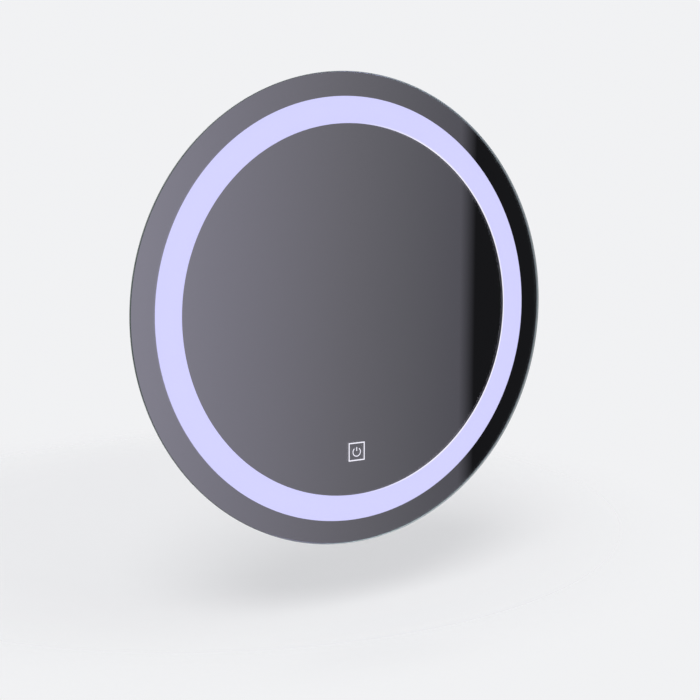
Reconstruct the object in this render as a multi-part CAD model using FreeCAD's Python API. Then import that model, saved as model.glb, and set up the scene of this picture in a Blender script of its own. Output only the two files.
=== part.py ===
import FreeCAD, Part
import math
import os

# Round wall mirror with a lit ring etched near its rim, a touch switch behind an etched power symbol, and a shallow
# aluminium box of electrics behind the glass. It hangs by a bent rail on a matching rail that is screwed to the wall,
# and lifts straight up to come off.
#
# Millimetres. +X is to the viewer's right, +Z is up and +Y points into the wall, so y = 0 is the wall and the glass
# faces -Y. The origin is the middle of the wall rail's screw line, on the wall. Pieces of the mirror itself are placed
# by x and z from the centre of the glass.

Vector = FreeCAD.Vector
DEPTH_AXIS = Vector(0, 1, 0)
FULL_TURN = 360.0

# ---------------------------------------------------------------- glass and its coatings
mirror_diameter = 600.0
glass_thickness = 4.0
glass_arris = 0.6            # flat ground off each edge of the glass
overall_depth = 40.0         # wall to the front of the glass
band_margin = 30.0           # glass edge to the lit ring
band_width = 33.0
etch_depth = 0.15            # how far the etching bites into the back of the glass
silver_thickness = 0.1
film_thickness = 0.2

# ---------------------------------------------------------------- etched power symbol
icon_to_band = 56.5          # symbol's middle to the lit ring's inner edge
icon_size = 24.2             # outer side of the square frame
icon_stroke = 1.5
symbol_radius = 5.6          # middle of the open circle's line
symbol_stroke = 1.2
symbol_gap_deg = 39.0        # half of the opening at the top of the circle
symbol_sink = 0.5            # circle's centre below the frame's
bar_foot = 1.2               # lowest and highest point of the upright stroke, above the circle's centre
bar_head = 6.4

# ---------------------------------------------------------------- light ring
diffuser_thickness = 2.0
diffuser_overlap = 3.5       # how far the diffuser laps behind the coating on each side of the band
strip_room = 3.0             # diffuser to the hoop's inner wall
glue_line = 0.3              # adhesive between curved pieces that lie on each other
strip_width = 10.0
strip_thickness = 0.4
strip_gap = 8.0              # between the strip's two ends, at the bottom
chip_length = 3.5
chip_width = 2.8
chip_height = 0.8
solder_height = 0.2
chip_pitch = 14.3
chip_end_room = 16.0         # bare strip at each end, for the solder pads

# ---------------------------------------------------------------- aluminium hoop
hoop_wall = 1.5
flange_width = 10.0          # glue face that stands outwards from the hoop
ledge_width = 12.5           # shelf inside the hoop that the back pan is screwed to
wall_gap = 2.0               # wall to the hoop's rear edge
recess_depth = 12.0          # wall to the back pan
joint_gap = 0.4              # butt joint at the bottom of the hoop
tape_thickness = 1.0
tape_width = 8.0
tape_edge = 1.5              # tape's outer edge to the flange's
bead_width = 3.0
bead_height = 1.8
splice_length = 60.0
splice_width = 7.0
splice_thickness = 1.5
splice_clearance = 1.2       # back pan to the splice plate
rivet_spacing = 13.0         # along the splice, the inner pair being half of it from the joint

# ---------------------------------------------------------------- back pan and its fixings
pan_thickness = 1.0
pan_clearance = 1.0
pan_screw_count = 12
screw_radius = 1.5
screw_head_radius = 3.4
screw_head_height = 2.2
screw_tip = 2.5
screw_tip_radius = 0.3
screw_head_round = 1.1
socket_span = 3.8            # cross socket in each screw's head
socket_blade = 0.9
socket_depth = 1.3
fit_clearance = 0.05         # thread to its pilot hole
hole_clearance = 0.4         # shank to a plain hole
pan_screw_length = 10.0
rivet_radius = 2.0
rivet_head_radius = 3.9
rivet_head_height = 1.2
rivet_head_round = 0.85
rivet_fold = 1.5             # height and radius of the closed end
rivet_fold_radius = 3.1
bumper_radius = 9.0
bumper_bore = 4.2
bumper_seat = 3.0            # rubber left under the screw's head
bumper_inset = 30.5          # pan's edge to the middle of each bumper
bumper_round = 1.2
bumper_angle = 50.0          # below the horizontal

# ---------------------------------------------------------------- hanging rails
rail_top_margin = 74.5       # pan's upper edge to the top of the mirror rail
rail_length = 300.0
rail_sheet = 1.5
rail_bend = 0.8              # inside radius of the folds
rail_plate = 26.0            # height of each rail's flat plate
lip_height = 12.0            # hook above the wall rail's step
hook_room = 4.0              # wall to the back of the wall rail's hook
hook_play = 0.9              # between the two hooks, front to back
hook_foot_gap = 0.5          # under the mirror rail's hook
lift_spare = 0.5             # lift beyond the point where the hooks part
slot_length = 14.0
slot_radius = 2.75
slot_spacing = 220.0
centre_hole_radius = 2.75
rail_rivet_reach = 130.0
rail_rivet_inner = 45.0

# ---------------------------------------------------------------- terminal box in the pan
box_length = 112.0
box_width = 64.0
box_wall = 1.6
box_floor_gap = 3.1          # safety film to the box's floor
box_flange = 8.0
box_flange_thickness = 1.2
box_corner = 3.0
lid_thickness = 1.5
lid_screw_inset = 3.5
cut_clearance = 0.3
grommet_bore = 3.8
grommet_neck = 6.5
grommet_flange = 9.0
grommet_lip = 2.0
grommet_round = 0.8
grommet_wall_gap = 9.4       # box's left wall to the grommet
block_wall_gap = 18.4        # box's right wall to the block
block_pole_pitch = 9.0
block_end = 5.0
block_width = 18.0
block_height = 13.0
block_drop = 2.0             # block's middle below the box's middle
block_groove = 1.2
block_groove_depth = 3.0
insert_radius = 2.2
insert_bore = 1.4
terminal_screw_radius = 1.8
terminal_screw_spread = 5.0
terminal_screw_sink = 0.6
slot_blade = 0.7             # driver slot
slot_depth = 0.8
clamp_reach = 28.0           # grommet to the clamp
clamp_wall_gap = 1.2         # box's lower wall to the clamp's lower post
clamp_span = 24.0
clamp_width = 7.0
clamp_thickness = 2.5
clamp_bite = 1.0             # depth of the cable's groove in the bar
clamp_corner = 2.0
clamp_post_radius = 3.2
clamp_post_height = 7.0
clamp_screw_length = 7.0

# ---------------------------------------------------------------- driver
driver_length = 150.0
driver_width = 42.0
driver_base_height = 17.0
driver_lid_thickness = 2.0
driver_wall = 1.8
driver_corner = 2.5
driver_room_corner = 1.0
driver_gap = 18.0            # terminal box's rim to the driver
ear_length = 9.0
ear_width = 18.0
ear_thickness = 2.2
driver_screw_length = 6.7
lid_lip = 1.2
lid_lip_wall = 1.3
lid_lip_clearance = 0.2
board_thickness = 1.6
board_post_height = 2.2
board_post_radius = 2.2
board_edge = 3.2             # board edge to the case's inner wall
transformer_size = (22.0, 18.0, 9.0)
transformer_leg = 4.0        # iron each side of the winding, along the driver
transformer_yoke = 2.0       # and above and below it
winding_bulge = 2.0          # winding beyond the core, to each side
capacitor_radius = 4.0
capacitor_height = 8.5
capacitor_round = 0.8
capacitor_gap = 1.6          # between two cans
capacitor_side = 2.0         # transformer to the nearest can
plug_block = (10.0, 13.0, 9.5)

# ---------------------------------------------------------------- touch switch
touch_size = 40.0
touch_depth = 14.0
touch_wall = 1.5
touch_corner = 2.0
touch_tape_thickness = 1.0
touch_tape_width = 4.5
icon_pad_gap = 1.5           # tape to the opal pad inside it
touch_board_thickness = 1.2
touch_board_clearance = 0.5
touch_board_depth = 3.0      # case's front rim to the board
touch_post_radius = 1.8
plug_size = (7.0, 6.0)       # wire sockets on the board
plug_height = 7.0
plug_edge = 2.5              # to the board's edge
sensor_chip_size = 6.0
sensor_chip_height = 1.4
backlight_size = 3.0
backlight_height = 1.2

# ---------------------------------------------------------------- wiring
lead_level = 12.0            # back pan's front face to the middle of every lead
mains_lead = 2.4
strip_lead = 1.8
lead_pitch = 4.0
lead_clearance = 0.3
lead_bend = 12.0
lead_side = 26.0             # driver's end to the leads that pass it
lead_row = 14.0              # terminal box to the nearer of the two leads that run beside it
terminal_reach = 6.0         # wire inside a terminal
clip_wall = 1.6
clip_length = 8.0
clip_foot = 1.5
clip_foot_side = 4.0
feed_clip_count = 3          # on the pair that runs down to the touch switch
earth_x = -76.0
earth_tag_thickness = 0.8
earth_tag_radius = 4.2
earth_tongue_width = 3.0
earth_tongue_root = 1.5      # tongue that runs under the barrel
earth_tag_reach = 9.0        # eye to the near end of the barrel
earth_barrel_length = 6.0
earth_barrel_wall = 0.5
earth_drop_start = 30.0      # straight wire before the barrel, and the run that slopes down to the pan
earth_slope = 22.0
earth_screw_radius = 2.0
earth_screw_length = 11.0
earth_nut_flats = 7.0
earth_nut_height = 3.2

# ---------------------------------------------------------------- places worked out from the sizes above
mirror_radius = mirror_diameter / 2
glass_front = -overall_depth
glass_back = glass_front + glass_thickness
silver_back = glass_back + silver_thickness
film_back = silver_back + film_thickness
flange_front = film_back + tape_thickness
coating_radius = mirror_radius - glass_arris     # out to where the glass is ground

band_outer = mirror_radius - band_margin
band_inner = band_outer - band_width
icon_drop = band_inner - icon_to_band            # below the centre of the glass
diffuser_outer = band_outer + diffuser_overlap
diffuser_inner = band_inner - diffuser_overlap

hoop_inner = diffuser_outer + strip_room
hoop_outer = hoop_inner + hoop_wall
flange_outer = hoop_outer + flange_width
ledge_inner = hoop_inner - ledge_width
bead_inner = flange_outer + glue_line
tape_outer = flange_outer - tape_edge
hoop_rear = -wall_gap
pan_rear = -recess_depth
pan_front = pan_rear - pan_thickness
pan_radius = hoop_inner - pan_clearance
pan_screw_ring = (ledge_inner + pan_radius) / 2
bumper_ring = pan_radius - bumper_inset
splice_inner = hoop_inner - glue_line - splice_thickness
lead_y = pan_front - lead_level

strip_outer = hoop_inner - glue_line
strip_face = strip_outer - strip_thickness      # carries the chips

rail_step_top = rail_plate / 2                  # top of the wall rail's step
wall_hook_front = -hook_room - rail_sheet
hook_top = rail_step_top + lip_height           # where the mirror rail's web rests
mirror_hook_front = -hook_room + hook_play
mirror_hook_rear = mirror_hook_front + rail_sheet
mirror_hook_foot = rail_step_top + hook_foot_gap
lift_off = hook_top - mirror_hook_foot + lift_spare
disc_z = rail_top_margin + hook_top + rail_plate - pan_radius     # centre of the glass, from the wall's screw line
rail_rivet_z = hook_top + rail_sheet + (rail_plate - rail_sheet) / 2 - disc_z

box_floor_front = film_back + box_floor_gap     # outside of the box's floor
box_floor = box_floor_front + box_wall          # inside of the box's floor
box_rear = pan_rear + box_flange_thickness
lid_rear = box_rear + lid_thickness
flange_half = (box_length / 2 + box_flange, box_width / 2 + box_flange)

barrel_x = earth_x + earth_tag_reach
barrel_radius = mains_lead / 2 + fit_clearance + earth_barrel_wall
barrel_y = pan_front - barrel_radius

driver_z = box_width / 2 + box_flange + driver_gap + driver_width / 2
driver_open = pan_front - driver_base_height
driver_front = driver_open - driver_lid_thickness
board_rear = pan_front - driver_wall - board_post_height
board_front = board_rear - board_thickness
plug_x = driver_length / 2 - driver_wall - board_edge - plug_block[0] / 2
lead_column = driver_length / 2 + lead_side

touch_z = -icon_drop
touch_front = film_back + touch_tape_thickness
touch_rear = touch_front + touch_depth
touch_board_front = touch_front + touch_board_depth
touch_board_rear = touch_board_front + touch_board_thickness
touch_board_half = touch_size / 2 - touch_wall - touch_board_clearance
wire_face = touch_board_half - plug_edge
wire_reach = wire_face - plug_size[1] / 2

block_top = -block_drop + block_width / 2
block_low = -block_drop - block_width / 2
block_rear = box_floor + block_height
block_length = 2 * (block_pole_pitch + block_end)
block_side = box_length / 2 - box_wall - block_wall_gap - block_length / 2
pole_places = [block_side + pole * block_pole_pitch for pole in (-1, 0, 1)]
terminal_screw_points = [(x, -block_drop + side * terminal_screw_spread) for x in pole_places for side in (-1, 1)]
clamp_low = box_floor + clamp_post_height
clamp_seat = clamp_low + clamp_thickness
grommet_x = -box_length / 2 + box_wall + grommet_wall_gap + grommet_flange
grommet_z = -box_width / 2 + box_wall + clamp_wall_gap + clamp_post_radius + clamp_span / 2
clamp_x = grommet_x + clamp_reach
clamp_posts = [(clamp_x, grommet_z + side * clamp_span / 2) for side in (-1, 1)]


def polar(radius, degrees):
    """x and z of a point on a circle about the centre of the glass."""
    return radius * math.cos(math.radians(degrees)), radius * math.sin(math.radians(degrees))


pan_screws = [polar(pan_screw_ring, FULL_TURN * (n + 0.5) / pan_screw_count) for n in range(pan_screw_count)]
rail_rivets = [(x, rail_rivet_z) for x in (-rail_rivet_reach, -rail_rivet_inner, rail_rivet_inner, rail_rivet_reach)]
bumpers = [polar(bumper_ring, -bumper_angle), polar(bumper_ring, bumper_angle - 180)]
lid_screws = [(sx * (flange_half[0] - lid_screw_inset), sz * (flange_half[1] - lid_screw_inset))
              for sx in (-1, 1) for sz in (-1, 1)]
driver_screws = [(side * (driver_length / 2 + ear_length / 2), driver_z) for side in (-1, 1)]
upper_run = box_width / 2 + lead_row            # leads between the terminal box and the driver
top_run = upper_run + lead_pitch
half_pitch = lead_pitch / 2
outer_column = lead_column + half_pitch
inner_column = lead_column - half_pitch
plug_face = plug_x + plug_block[0] / 2
strip_lead_x = strip_gap / 2 + lead_pitch
wire_end = block_top - terminal_reach
earth_point = (earth_x, upper_run)


# ================================================================ small tools
def cylinder(x, z, radius, y0, y1):
    """Round bar along the depth, at x and z from the centre of the glass."""
    return Part.makeCylinder(radius, y1 - y0, Vector(x, y0, z + disc_z), DEPTH_AXIS)


def ring(inner, outer, y0, y1):
    """Flat ring or short tube about the centre of the glass."""
    return cylinder(0, 0, outer, y0, y1).cut(cylinder(0, 0, inner, y0, y1))


def block(x, z, size_x, size_z, y0, y1):
    """Box with its middle at x and z from the centre of the glass."""
    return Part.makeBox(size_x, y1 - y0, size_z, Vector(x - size_x / 2, y0, z + disc_z - size_z / 2))


def rounded_block(x, z, size_x, size_z, y0, y1, radius):
    """The same with its four corners rounded, as seen from the front."""
    solid = block(x, z, size_x, size_z, y0, y1)
    upright = [e for e in solid.Edges if abs(e.tangentAt(e.FirstParameter).y) > 0.999]
    return solid.makeFillet(radius, upright)


def turned(section):
    """Solid turned about the axis of the glass from (radius, y) points."""
    points = [Vector(radius, y, disc_z) for radius, y in section]
    face = Part.Face(Part.makePolygon(points + points[:1]))
    return face.revolve(Vector(0, 0, disc_z), DEPTH_AXIS, FULL_TURN)


def bored(solid, holes, radius, y0, y1):
    """solid with a round hole at each x, z."""
    for x, z in holes:
        solid = solid.cut(cylinder(x, z, radius, y0, y1))
    return solid


def cross_socket(x, z, face, depth):
    """Cross-shaped driver socket sunk from a screw's face; depth is signed along y."""
    y0, y1 = sorted((face, face - depth))
    return block(x, z, socket_span, socket_blade, y0, y1).fuse(block(x, z, socket_blade, socket_span, y0, y1))


def pan_screw(x, z, seat, length, towards, radius=screw_radius):
    """Pan-head screw seated at y = seat. towards is +1 where the head is on the wall side and -1 where it faces the
    glass."""
    head = cylinder(x, z, screw_head_radius, *sorted((seat, seat + towards * screw_head_height)))
    top = seat + towards * screw_head_height
    rim = [e for e in head.Edges if abs(e.CenterOfMass.y - top) < 1e-6]
    head = head.makeFillet(screw_head_round, rim)
    tip = seat - towards * length
    shank = cylinder(x, z, radius, *sorted((seat, tip + towards * screw_tip)))
    point = Part.makeCone(radius, screw_tip_radius, screw_tip, Vector(x, tip + towards * screw_tip, z + disc_z),
                          Vector(0, -towards, 0))
    body = head.fuse(shank).fuse(point).removeSplitter()
    return body.cut(cross_socket(x, z, top, towards * socket_depth))


def rivet(x, z, rear, front):
    """Blind rivet through everything between y = front and y = rear, its dome on the wall side."""
    dome = cylinder(x, z, rivet_head_radius, rear, rear + rivet_head_height)
    rim = [e for e in dome.Edges if abs(e.CenterOfMass.y - rear - rivet_head_height) < 1e-6]
    dome = dome.makeFillet(rivet_head_round, rim)
    shank = cylinder(x, z, rivet_radius, front, rear)
    fold = cylinder(x, z, rivet_fold_radius, front - rivet_fold, front)
    return dome.fuse(shank).fuse(fold).removeSplitter()


def lead(points, diameter, bend=lead_bend):
    """Round wire through the points, as straight runs joined by tangent arcs."""
    edges = []
    radii = []
    start = points[0]
    for before, corner, after in zip(points, points[1:], points[2:]):
        back = (before - corner).normalize()
        ahead = (after - corner).normalize()
        half_turn = (math.pi - back.getAngle(ahead)) / 2
        shorter = min(before.distanceToPoint(corner), corner.distanceToPoint(after))
        radius = min(bend, 0.45 * shorter / math.tan(half_turn))
        radii.append(round(radius, 1))
        setback = radius * math.tan(half_turn)
        inward = (back + ahead).normalize()
        middle = corner + inward * (radius / math.cos(half_turn) - radius)
        edges.append(Part.LineSegment(start, corner + back * setback).toShape())
        edges.append(Part.Arc(corner + back * setback, middle, corner + ahead * setback).toShape())
        start = corner + ahead * setback
    edges.append(Part.LineSegment(start, points[-1]).toShape())
    path = Part.Wire(edges)
    mouth = Part.Wire([Part.makeCircle(diameter / 2, points[0], points[1] - points[0])])
    wire = path.makePipeShell([mouth], True, False)
    section = math.pi * diameter ** 2 / 4
    print("lead", diameter, "mm, bend radii", radii, "volume by section and length",
          round(wire.Volume / (section * path.Length), 5))
    return wire


def at(x, y, z):
    """Point at x and z from the centre of the glass."""
    return Vector(x, y, z + disc_z)


def lead_hole(x, z, diameter, length, direction):
    """Bar to cut a lead's hole with, from x and z at the level of the leads."""
    return Part.makeCylinder(diameter / 2 + lead_clearance, length, at(x, lead_y, z), direction)


def save(name, *solids):
    """One STEP file for a node, from one solid or several alike."""
    shape = solids[0] if len(solids) == 1 else Part.makeCompound(list(solids))
    shape.exportStep("parts/" + name + ".step")


# ================================================================ glass, coatings and light
def icon_strokes(y0, y1):
    """The etched lines of the power symbol: square frame, open circle and upright stroke."""
    z = -icon_drop
    inner = icon_size - 2 * icon_stroke
    frame = block(0, z, icon_size, icon_size, y0, y1).cut(block(0, z, inner, inner, y0, y1))
    hub = z - symbol_sink
    circle = cylinder(0, hub, symbol_radius + symbol_stroke / 2, y0, y1)
    circle = circle.cut(cylinder(0, hub, symbol_radius - symbol_stroke / 2, y0, y1))
    reach = 2 * symbol_radius
    side = reach * math.tan(math.radians(symbol_gap_deg))
    gap = Part.makePolygon([at(0, y0, hub), at(side, y0, hub + reach), at(-side, y0, hub + reach), at(0, y0, hub)])
    circle = circle.cut(Part.Face(gap).extrude(Vector(0, y1 - y0, 0)))
    bar = block(0, hub + (bar_foot + bar_head) / 2, symbol_stroke, bar_head - bar_foot, y0, y1)
    return Part.makeCompound([frame, circle, bar])


def mirror_glass():
    """Clear disc, ground at both edges, with the band and the symbol etched into its back."""
    disc = turned([(0, glass_front), (mirror_radius - glass_arris, glass_front),
                   (mirror_radius, glass_front + glass_arris), (mirror_radius, glass_back - glass_arris),
                   (mirror_radius - glass_arris, glass_back), (0, glass_back)])
    disc = disc.cut(ring(band_inner, band_outer, glass_back - etch_depth, glass_back))
    return disc.cut(icon_strokes(glass_back - etch_depth, glass_back))


def coating(y0, y1):
    """A layer on the back of the glass, absent behind the band and the symbol."""
    rim = ring(band_outer, coating_radius, y0, y1)
    middle = cylinder(0, 0, band_inner, y0, y1).cut(icon_strokes(y0, y1))
    return [rim] + middle.Solids


def led_strip():
    """Flexible board round the inside of the hoop, open at the bottom for its leads."""
    y0, y1 = lead_y - strip_width / 2, lead_y + strip_width / 2
    band = ring(strip_face, strip_outer, y0, y1)
    return band.cut(block(0, -hoop_inner, strip_gap, hoop_inner, y0, y1))


def led_chips():
    """Light-emitting chips, evenly spaced along the strip and facing the middle."""
    usable = 2 * math.pi * strip_face - strip_gap - 2 * chip_end_room
    count = int(usable // chip_pitch) + 1
    start = (strip_gap / 2 + chip_end_room) / strip_face
    step = (2 * math.pi - 2 * start) / (count - 1)
    chips = []
    face = math.sqrt((strip_face - solder_height) ** 2 - (chip_length / 2) ** 2)     # nearest the strip at its ends
    for n in range(count):
        chip = Part.makeBox(chip_length, chip_width, chip_height,
                            Vector(-chip_length / 2, lead_y - chip_width / 2, disc_z - face))
        chip.rotate(Vector(0, 0, disc_z), DEPTH_AXIS, -math.degrees(start + n * step))
        chips.append(chip)
    return chips


# ================================================================ hoop and back
def frame_hoop():
    """Rolled aluminium section: glue flange at the front, shelf for the pan, wall between, butt joint at the foot."""
    section = [(hoop_inner, flange_front), (flange_outer, flange_front), (flange_outer, flange_front + hoop_wall),
               (hoop_outer, flange_front + hoop_wall), (hoop_outer, hoop_rear), (hoop_inner, hoop_rear),
               (hoop_inner, pan_front), (ledge_inner, pan_front), (ledge_inner, pan_front - hoop_wall),
               (hoop_inner, pan_front - hoop_wall)]
    hoop = turned(section)
    hoop = hoop.cut(block(0, -mirror_radius, joint_gap, mirror_radius, glass_front, 0))
    hoop = bored(hoop, pan_screws, screw_radius + fit_clearance, pan_front - 2 * hoop_wall, pan_front)
    for hole in splice_rivet_shanks(rivet_radius + fit_clearance):
        hoop = hoop.cut(hole)
    return hoop


def splice_middle():
    """Middle of the splice plate's width."""
    return pan_rear + splice_clearance + splice_width / 2


def splice_rivet_angles():
    """Degrees from straight down of the four splice rivets."""
    return [math.degrees(side * rivet_spacing * place / hoop_inner) for side in (-1, 1) for place in (0.5, 1.5)]


def radial_rod(degrees, radius, inner, outer):
    """Round bar that points outwards from the centre, degrees from straight down, across the splice."""
    rod = Part.makeCylinder(radius, outer - inner, Vector(0, splice_middle(), disc_z - inner), Vector(0, 0, -1))
    rod.rotate(Vector(0, 0, disc_z), DEPTH_AXIS, degrees)
    return rod


def splice_rivet_shanks(radius):
    """The splice rivets' holes, through the hoop's wall and the plate."""
    inner, outer = hoop_inner - 2 * splice_thickness, hoop_outer + rivet_head_height
    return [radial_rod(angle, radius, inner, outer) for angle in splice_rivet_angles()]


def splice_plate():
    """Curved plate that joins the hoop's two ends from inside."""
    y0 = pan_rear + splice_clearance
    band = ring(splice_inner, splice_inner + splice_thickness, y0, y0 + splice_width)
    plate = band.common(block(0, -hoop_inner, splice_length, hoop_inner, y0, y0 + splice_width))
    for hole in splice_rivet_shanks(rivet_radius + fit_clearance):
        plate = plate.cut(hole)
    return plate


def splice_rivets():
    """Rivets of the splice, domes outside."""
    rivets = []
    fold_seat = math.sqrt(splice_inner ** 2 - rivet_fold_radius ** 2)     # the fold's rim meets the curved plate
    for angle in splice_rivet_angles():
        shank = radial_rod(angle, rivet_radius, fold_seat, hoop_outer)
        dome = radial_rod(angle, rivet_head_radius, hoop_outer, hoop_outer + rivet_head_height)
        fold = radial_rod(angle, rivet_fold_radius, fold_seat - rivet_fold, fold_seat)
        rivets.append(shank.fuse(dome).fuse(fold).removeSplitter())
    return rivets


def back_pan():
    """Steel disc that closes the hoop, cut out for the terminal box and drilled for everything fixed to it."""
    pan = cylinder(0, 0, pan_radius, pan_front, pan_rear)
    pan = pan.cut(rounded_block(0, 0, box_length + 2 * cut_clearance, box_width + 2 * cut_clearance,
                                pan_front, pan_rear, box_corner))
    pan = bored(pan, pan_screws + bumpers, screw_radius + hole_clearance, pan_front, pan_rear)
    pan = bored(pan, lid_screws + driver_screws, screw_radius + fit_clearance, pan_front, pan_rear)
    pan = bored(pan, rail_rivets, rivet_radius + fit_clearance, pan_front, pan_rear)
    return bored(pan, [earth_point], earth_screw_radius + fit_clearance, pan_front, pan_rear)


def rubber_bumper(x, z):
    """Foot that keeps the lower edge parallel to the wall, hollow for its screw."""
    foot = cylinder(x, z, bumper_radius, pan_rear, 0)
    rim = [e for e in foot.Edges if abs(e.CenterOfMass.y) < 1e-6]
    foot = foot.makeFillet(bumper_round, rim)
    foot = foot.cut(cylinder(x, z, bumper_bore, pan_rear + bumper_seat, 0))
    return foot.cut(cylinder(x, z, screw_radius + hole_clearance, pan_rear, pan_rear + bumper_seat))


# ================================================================ hanging rails
def folded_rail(section, folds):
    """Sheet rail drawn along X from its (y, z) section. folds lists each fold's inner corner and outer corner."""
    half = rail_length / 2
    points = [Vector(-half, y, z) for y, z in section]
    rail = Part.Face(Part.makePolygon(points + points[:1])).extrude(Vector(rail_length, 0, 0))
    for (y, z), radius in folds:
        edges = [e for e in rail.Edges
                 if abs(e.Length - rail_length) < 1e-6 and e.CenterOfMass.distanceToPoint(Vector(0, y, z)) < 1e-6]
        rail = rail.makeFillet(radius, edges)
    return rail


def wall_rail():
    """Rail on the wall: flat plate, step forwards, hook upwards. Slots and a centre hole take the wall screws."""
    foot = -rail_plate / 2
    step = rail_step_top
    outer = rail_bend + rail_sheet
    section = [(0, foot), (0, step), (-hook_room, step), (-hook_room, hook_top), (wall_hook_front, hook_top),
               (wall_hook_front, step - rail_sheet), (-rail_sheet, step - rail_sheet), (-rail_sheet, foot)]
    rail = folded_rail(section, [((0, step), outer), ((-rail_sheet, step - rail_sheet), rail_bend),
                                 ((-hook_room, step), rail_bend), ((wall_hook_front, step - rail_sheet), outer)])
    for side in (-1, 1):
        middle = side * slot_spacing / 2
        half = slot_length / 2 - slot_radius
        slot = Part.makeBox(2 * half, rail_sheet, 2 * slot_radius, Vector(middle - half, -rail_sheet, -slot_radius))
        for end in (-half, half):
            slot = slot.fuse(Part.makeCylinder(slot_radius, rail_sheet, Vector(middle + end, -rail_sheet, 0),
                                               DEPTH_AXIS))
        rail = rail.cut(slot)
    return rail.cut(Part.makeCylinder(centre_hole_radius, rail_sheet, Vector(0, -rail_sheet, 0), DEPTH_AXIS))


def mirror_rail():
    """Rail on the back pan: flat plate, step towards the wall, hook downwards behind the wall rail's hook."""
    web_top = hook_top + rail_sheet
    plate_rear = pan_rear + rail_sheet
    plate_top = hook_top + rail_plate
    outer = rail_bend + rail_sheet
    section = [(pan_rear, hook_top), (pan_rear, plate_top), (plate_rear, plate_top), (plate_rear, web_top),
               (mirror_hook_rear, web_top), (mirror_hook_rear, mirror_hook_foot),
               (mirror_hook_front, mirror_hook_foot), (mirror_hook_front, hook_top)]
    rail = folded_rail(section, [((pan_rear, hook_top), outer), ((plate_rear, web_top), rail_bend),
                                 ((mirror_hook_rear, web_top), outer), ((mirror_hook_front, hook_top), rail_bend)])
    return bored(rail, rail_rivets, rivet_radius + fit_clearance, pan_rear, plate_rear)


# ================================================================ terminal box
def terminal_box():
    """Plastic box sunk through the pan, with a rim on the wall side, posts for the cord clamp and lead holes."""
    tub = rounded_block(0, 0, box_length, box_width, box_floor_front, box_rear, box_corner)
    rim = rounded_block(0, 0, 2 * flange_half[0], 2 * flange_half[1], pan_rear, box_rear, box_corner)
    room = rounded_block(0, 0, box_length - 2 * box_wall, box_width - 2 * box_wall, box_floor, box_rear,
                         box_corner - box_wall)
    box = tub.fuse(rim).cut(room)
    for x, z in clamp_posts:
        box = box.fuse(cylinder(x, z, clamp_post_radius, box_floor, clamp_low))
    box = bored(box, clamp_posts, screw_radius + fit_clearance, box_floor, clamp_low)
    box = bored(box, lid_screws, screw_radius + hole_clearance, pan_rear, box_rear)
    for x in pole_places:
        box = box.cut(lead_hole(x, box_width / 2 - 1.5 * box_wall, mains_lead, 2 * box_wall, Vector(0, 0, 1)))
    return box


def terminal_box_lid():
    """Flat lid with the grommet's hole."""
    lid = rounded_block(0, 0, 2 * flange_half[0], 2 * flange_half[1], box_rear, lid_rear, box_corner)
    lid = bored(lid, lid_screws, screw_radius + hole_clearance, box_rear, lid_rear)
    return bored(lid, [(grommet_x, grommet_z)], grommet_neck + fit_clearance, box_rear, lid_rear)


def cable_grommet():
    """Rubber ring in the lid that the mains cable comes in through."""
    inner = box_rear - grommet_lip
    outer = lid_rear + grommet_lip
    body = cylinder(grommet_x, grommet_z, grommet_neck, inner, outer)
    for y0, y1 in ((inner, box_rear), (lid_rear, outer)):
        body = body.fuse(cylinder(grommet_x, grommet_z, grommet_flange, y0, y1))
    rims = [e for e in body.Edges
            if e.Curve.TypeId == "Part::GeomCircle" and abs(e.Curve.Radius - grommet_flange) < 1e-6
            and min(abs(e.CenterOfMass.y - inner), abs(e.CenterOfMass.y - outer)) < 1e-6]
    body = body.makeFillet(grommet_round, rims)
    return body.cut(cylinder(grommet_x, grommet_z, grommet_bore, inner, outer))


def terminal_block():
    """Three-pole block: live, neutral and earth."""
    body = block(block_side, -block_drop, block_length, block_width, box_floor, block_rear)
    for x in pole_places:
        bore = Part.makeCylinder(insert_radius, block_width, at(x, lead_y, block_low), Vector(0, 0, 1))
        body = body.cut(bore)
    for side in (-0.5, 0.5):                                     # grooves between the poles
        body = body.cut(block(block_side + side * block_pole_pitch, -block_drop, block_groove, block_width,
                              block_rear - block_groove_depth, block_rear))
    return bored(body, terminal_screw_points, terminal_screw_radius + fit_clearance, lead_y, block_rear)


def terminal_inserts():
    """Brass tube of each pole."""
    tubes = []
    for x in pole_places:
        outside = Part.makeCylinder(insert_radius - fit_clearance, block_width, at(x, lead_y, block_low),
                                    Vector(0, 0, 1))
        bore = Part.makeCylinder(insert_bore, block_width, at(x, lead_y, block_low), Vector(0, 0, 1))
        tubes.append(outside.cut(bore))
    return tubes


def terminal_screws():
    """Slotted screws that clamp the wires, sunk a little below the block's face."""
    screws = []
    top = block_rear - terminal_screw_sink
    for x, z in terminal_screw_points:
        body = cylinder(x, z, terminal_screw_radius, lead_y + insert_radius, top)
        screws.append(body.cut(block(x, z, 2 * terminal_screw_radius, slot_blade, top - slot_depth, top)))
    return screws


def cord_clamp():
    """Bar that grips the mains cable against the box's posts."""
    bar = rounded_block(clamp_x, grommet_z, clamp_width, clamp_span + 2 * clamp_post_radius, clamp_low, clamp_seat,
                        clamp_corner)
    grip = Part.makeCylinder(grommet_bore, clamp_width, at(clamp_x - clamp_width / 2,
                             clamp_low - grommet_bore + clamp_bite, grommet_z), Vector(1, 0, 0))
    return bored(bar.cut(grip), clamp_posts, screw_radius + hole_clearance, clamp_low, clamp_seat)


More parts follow.
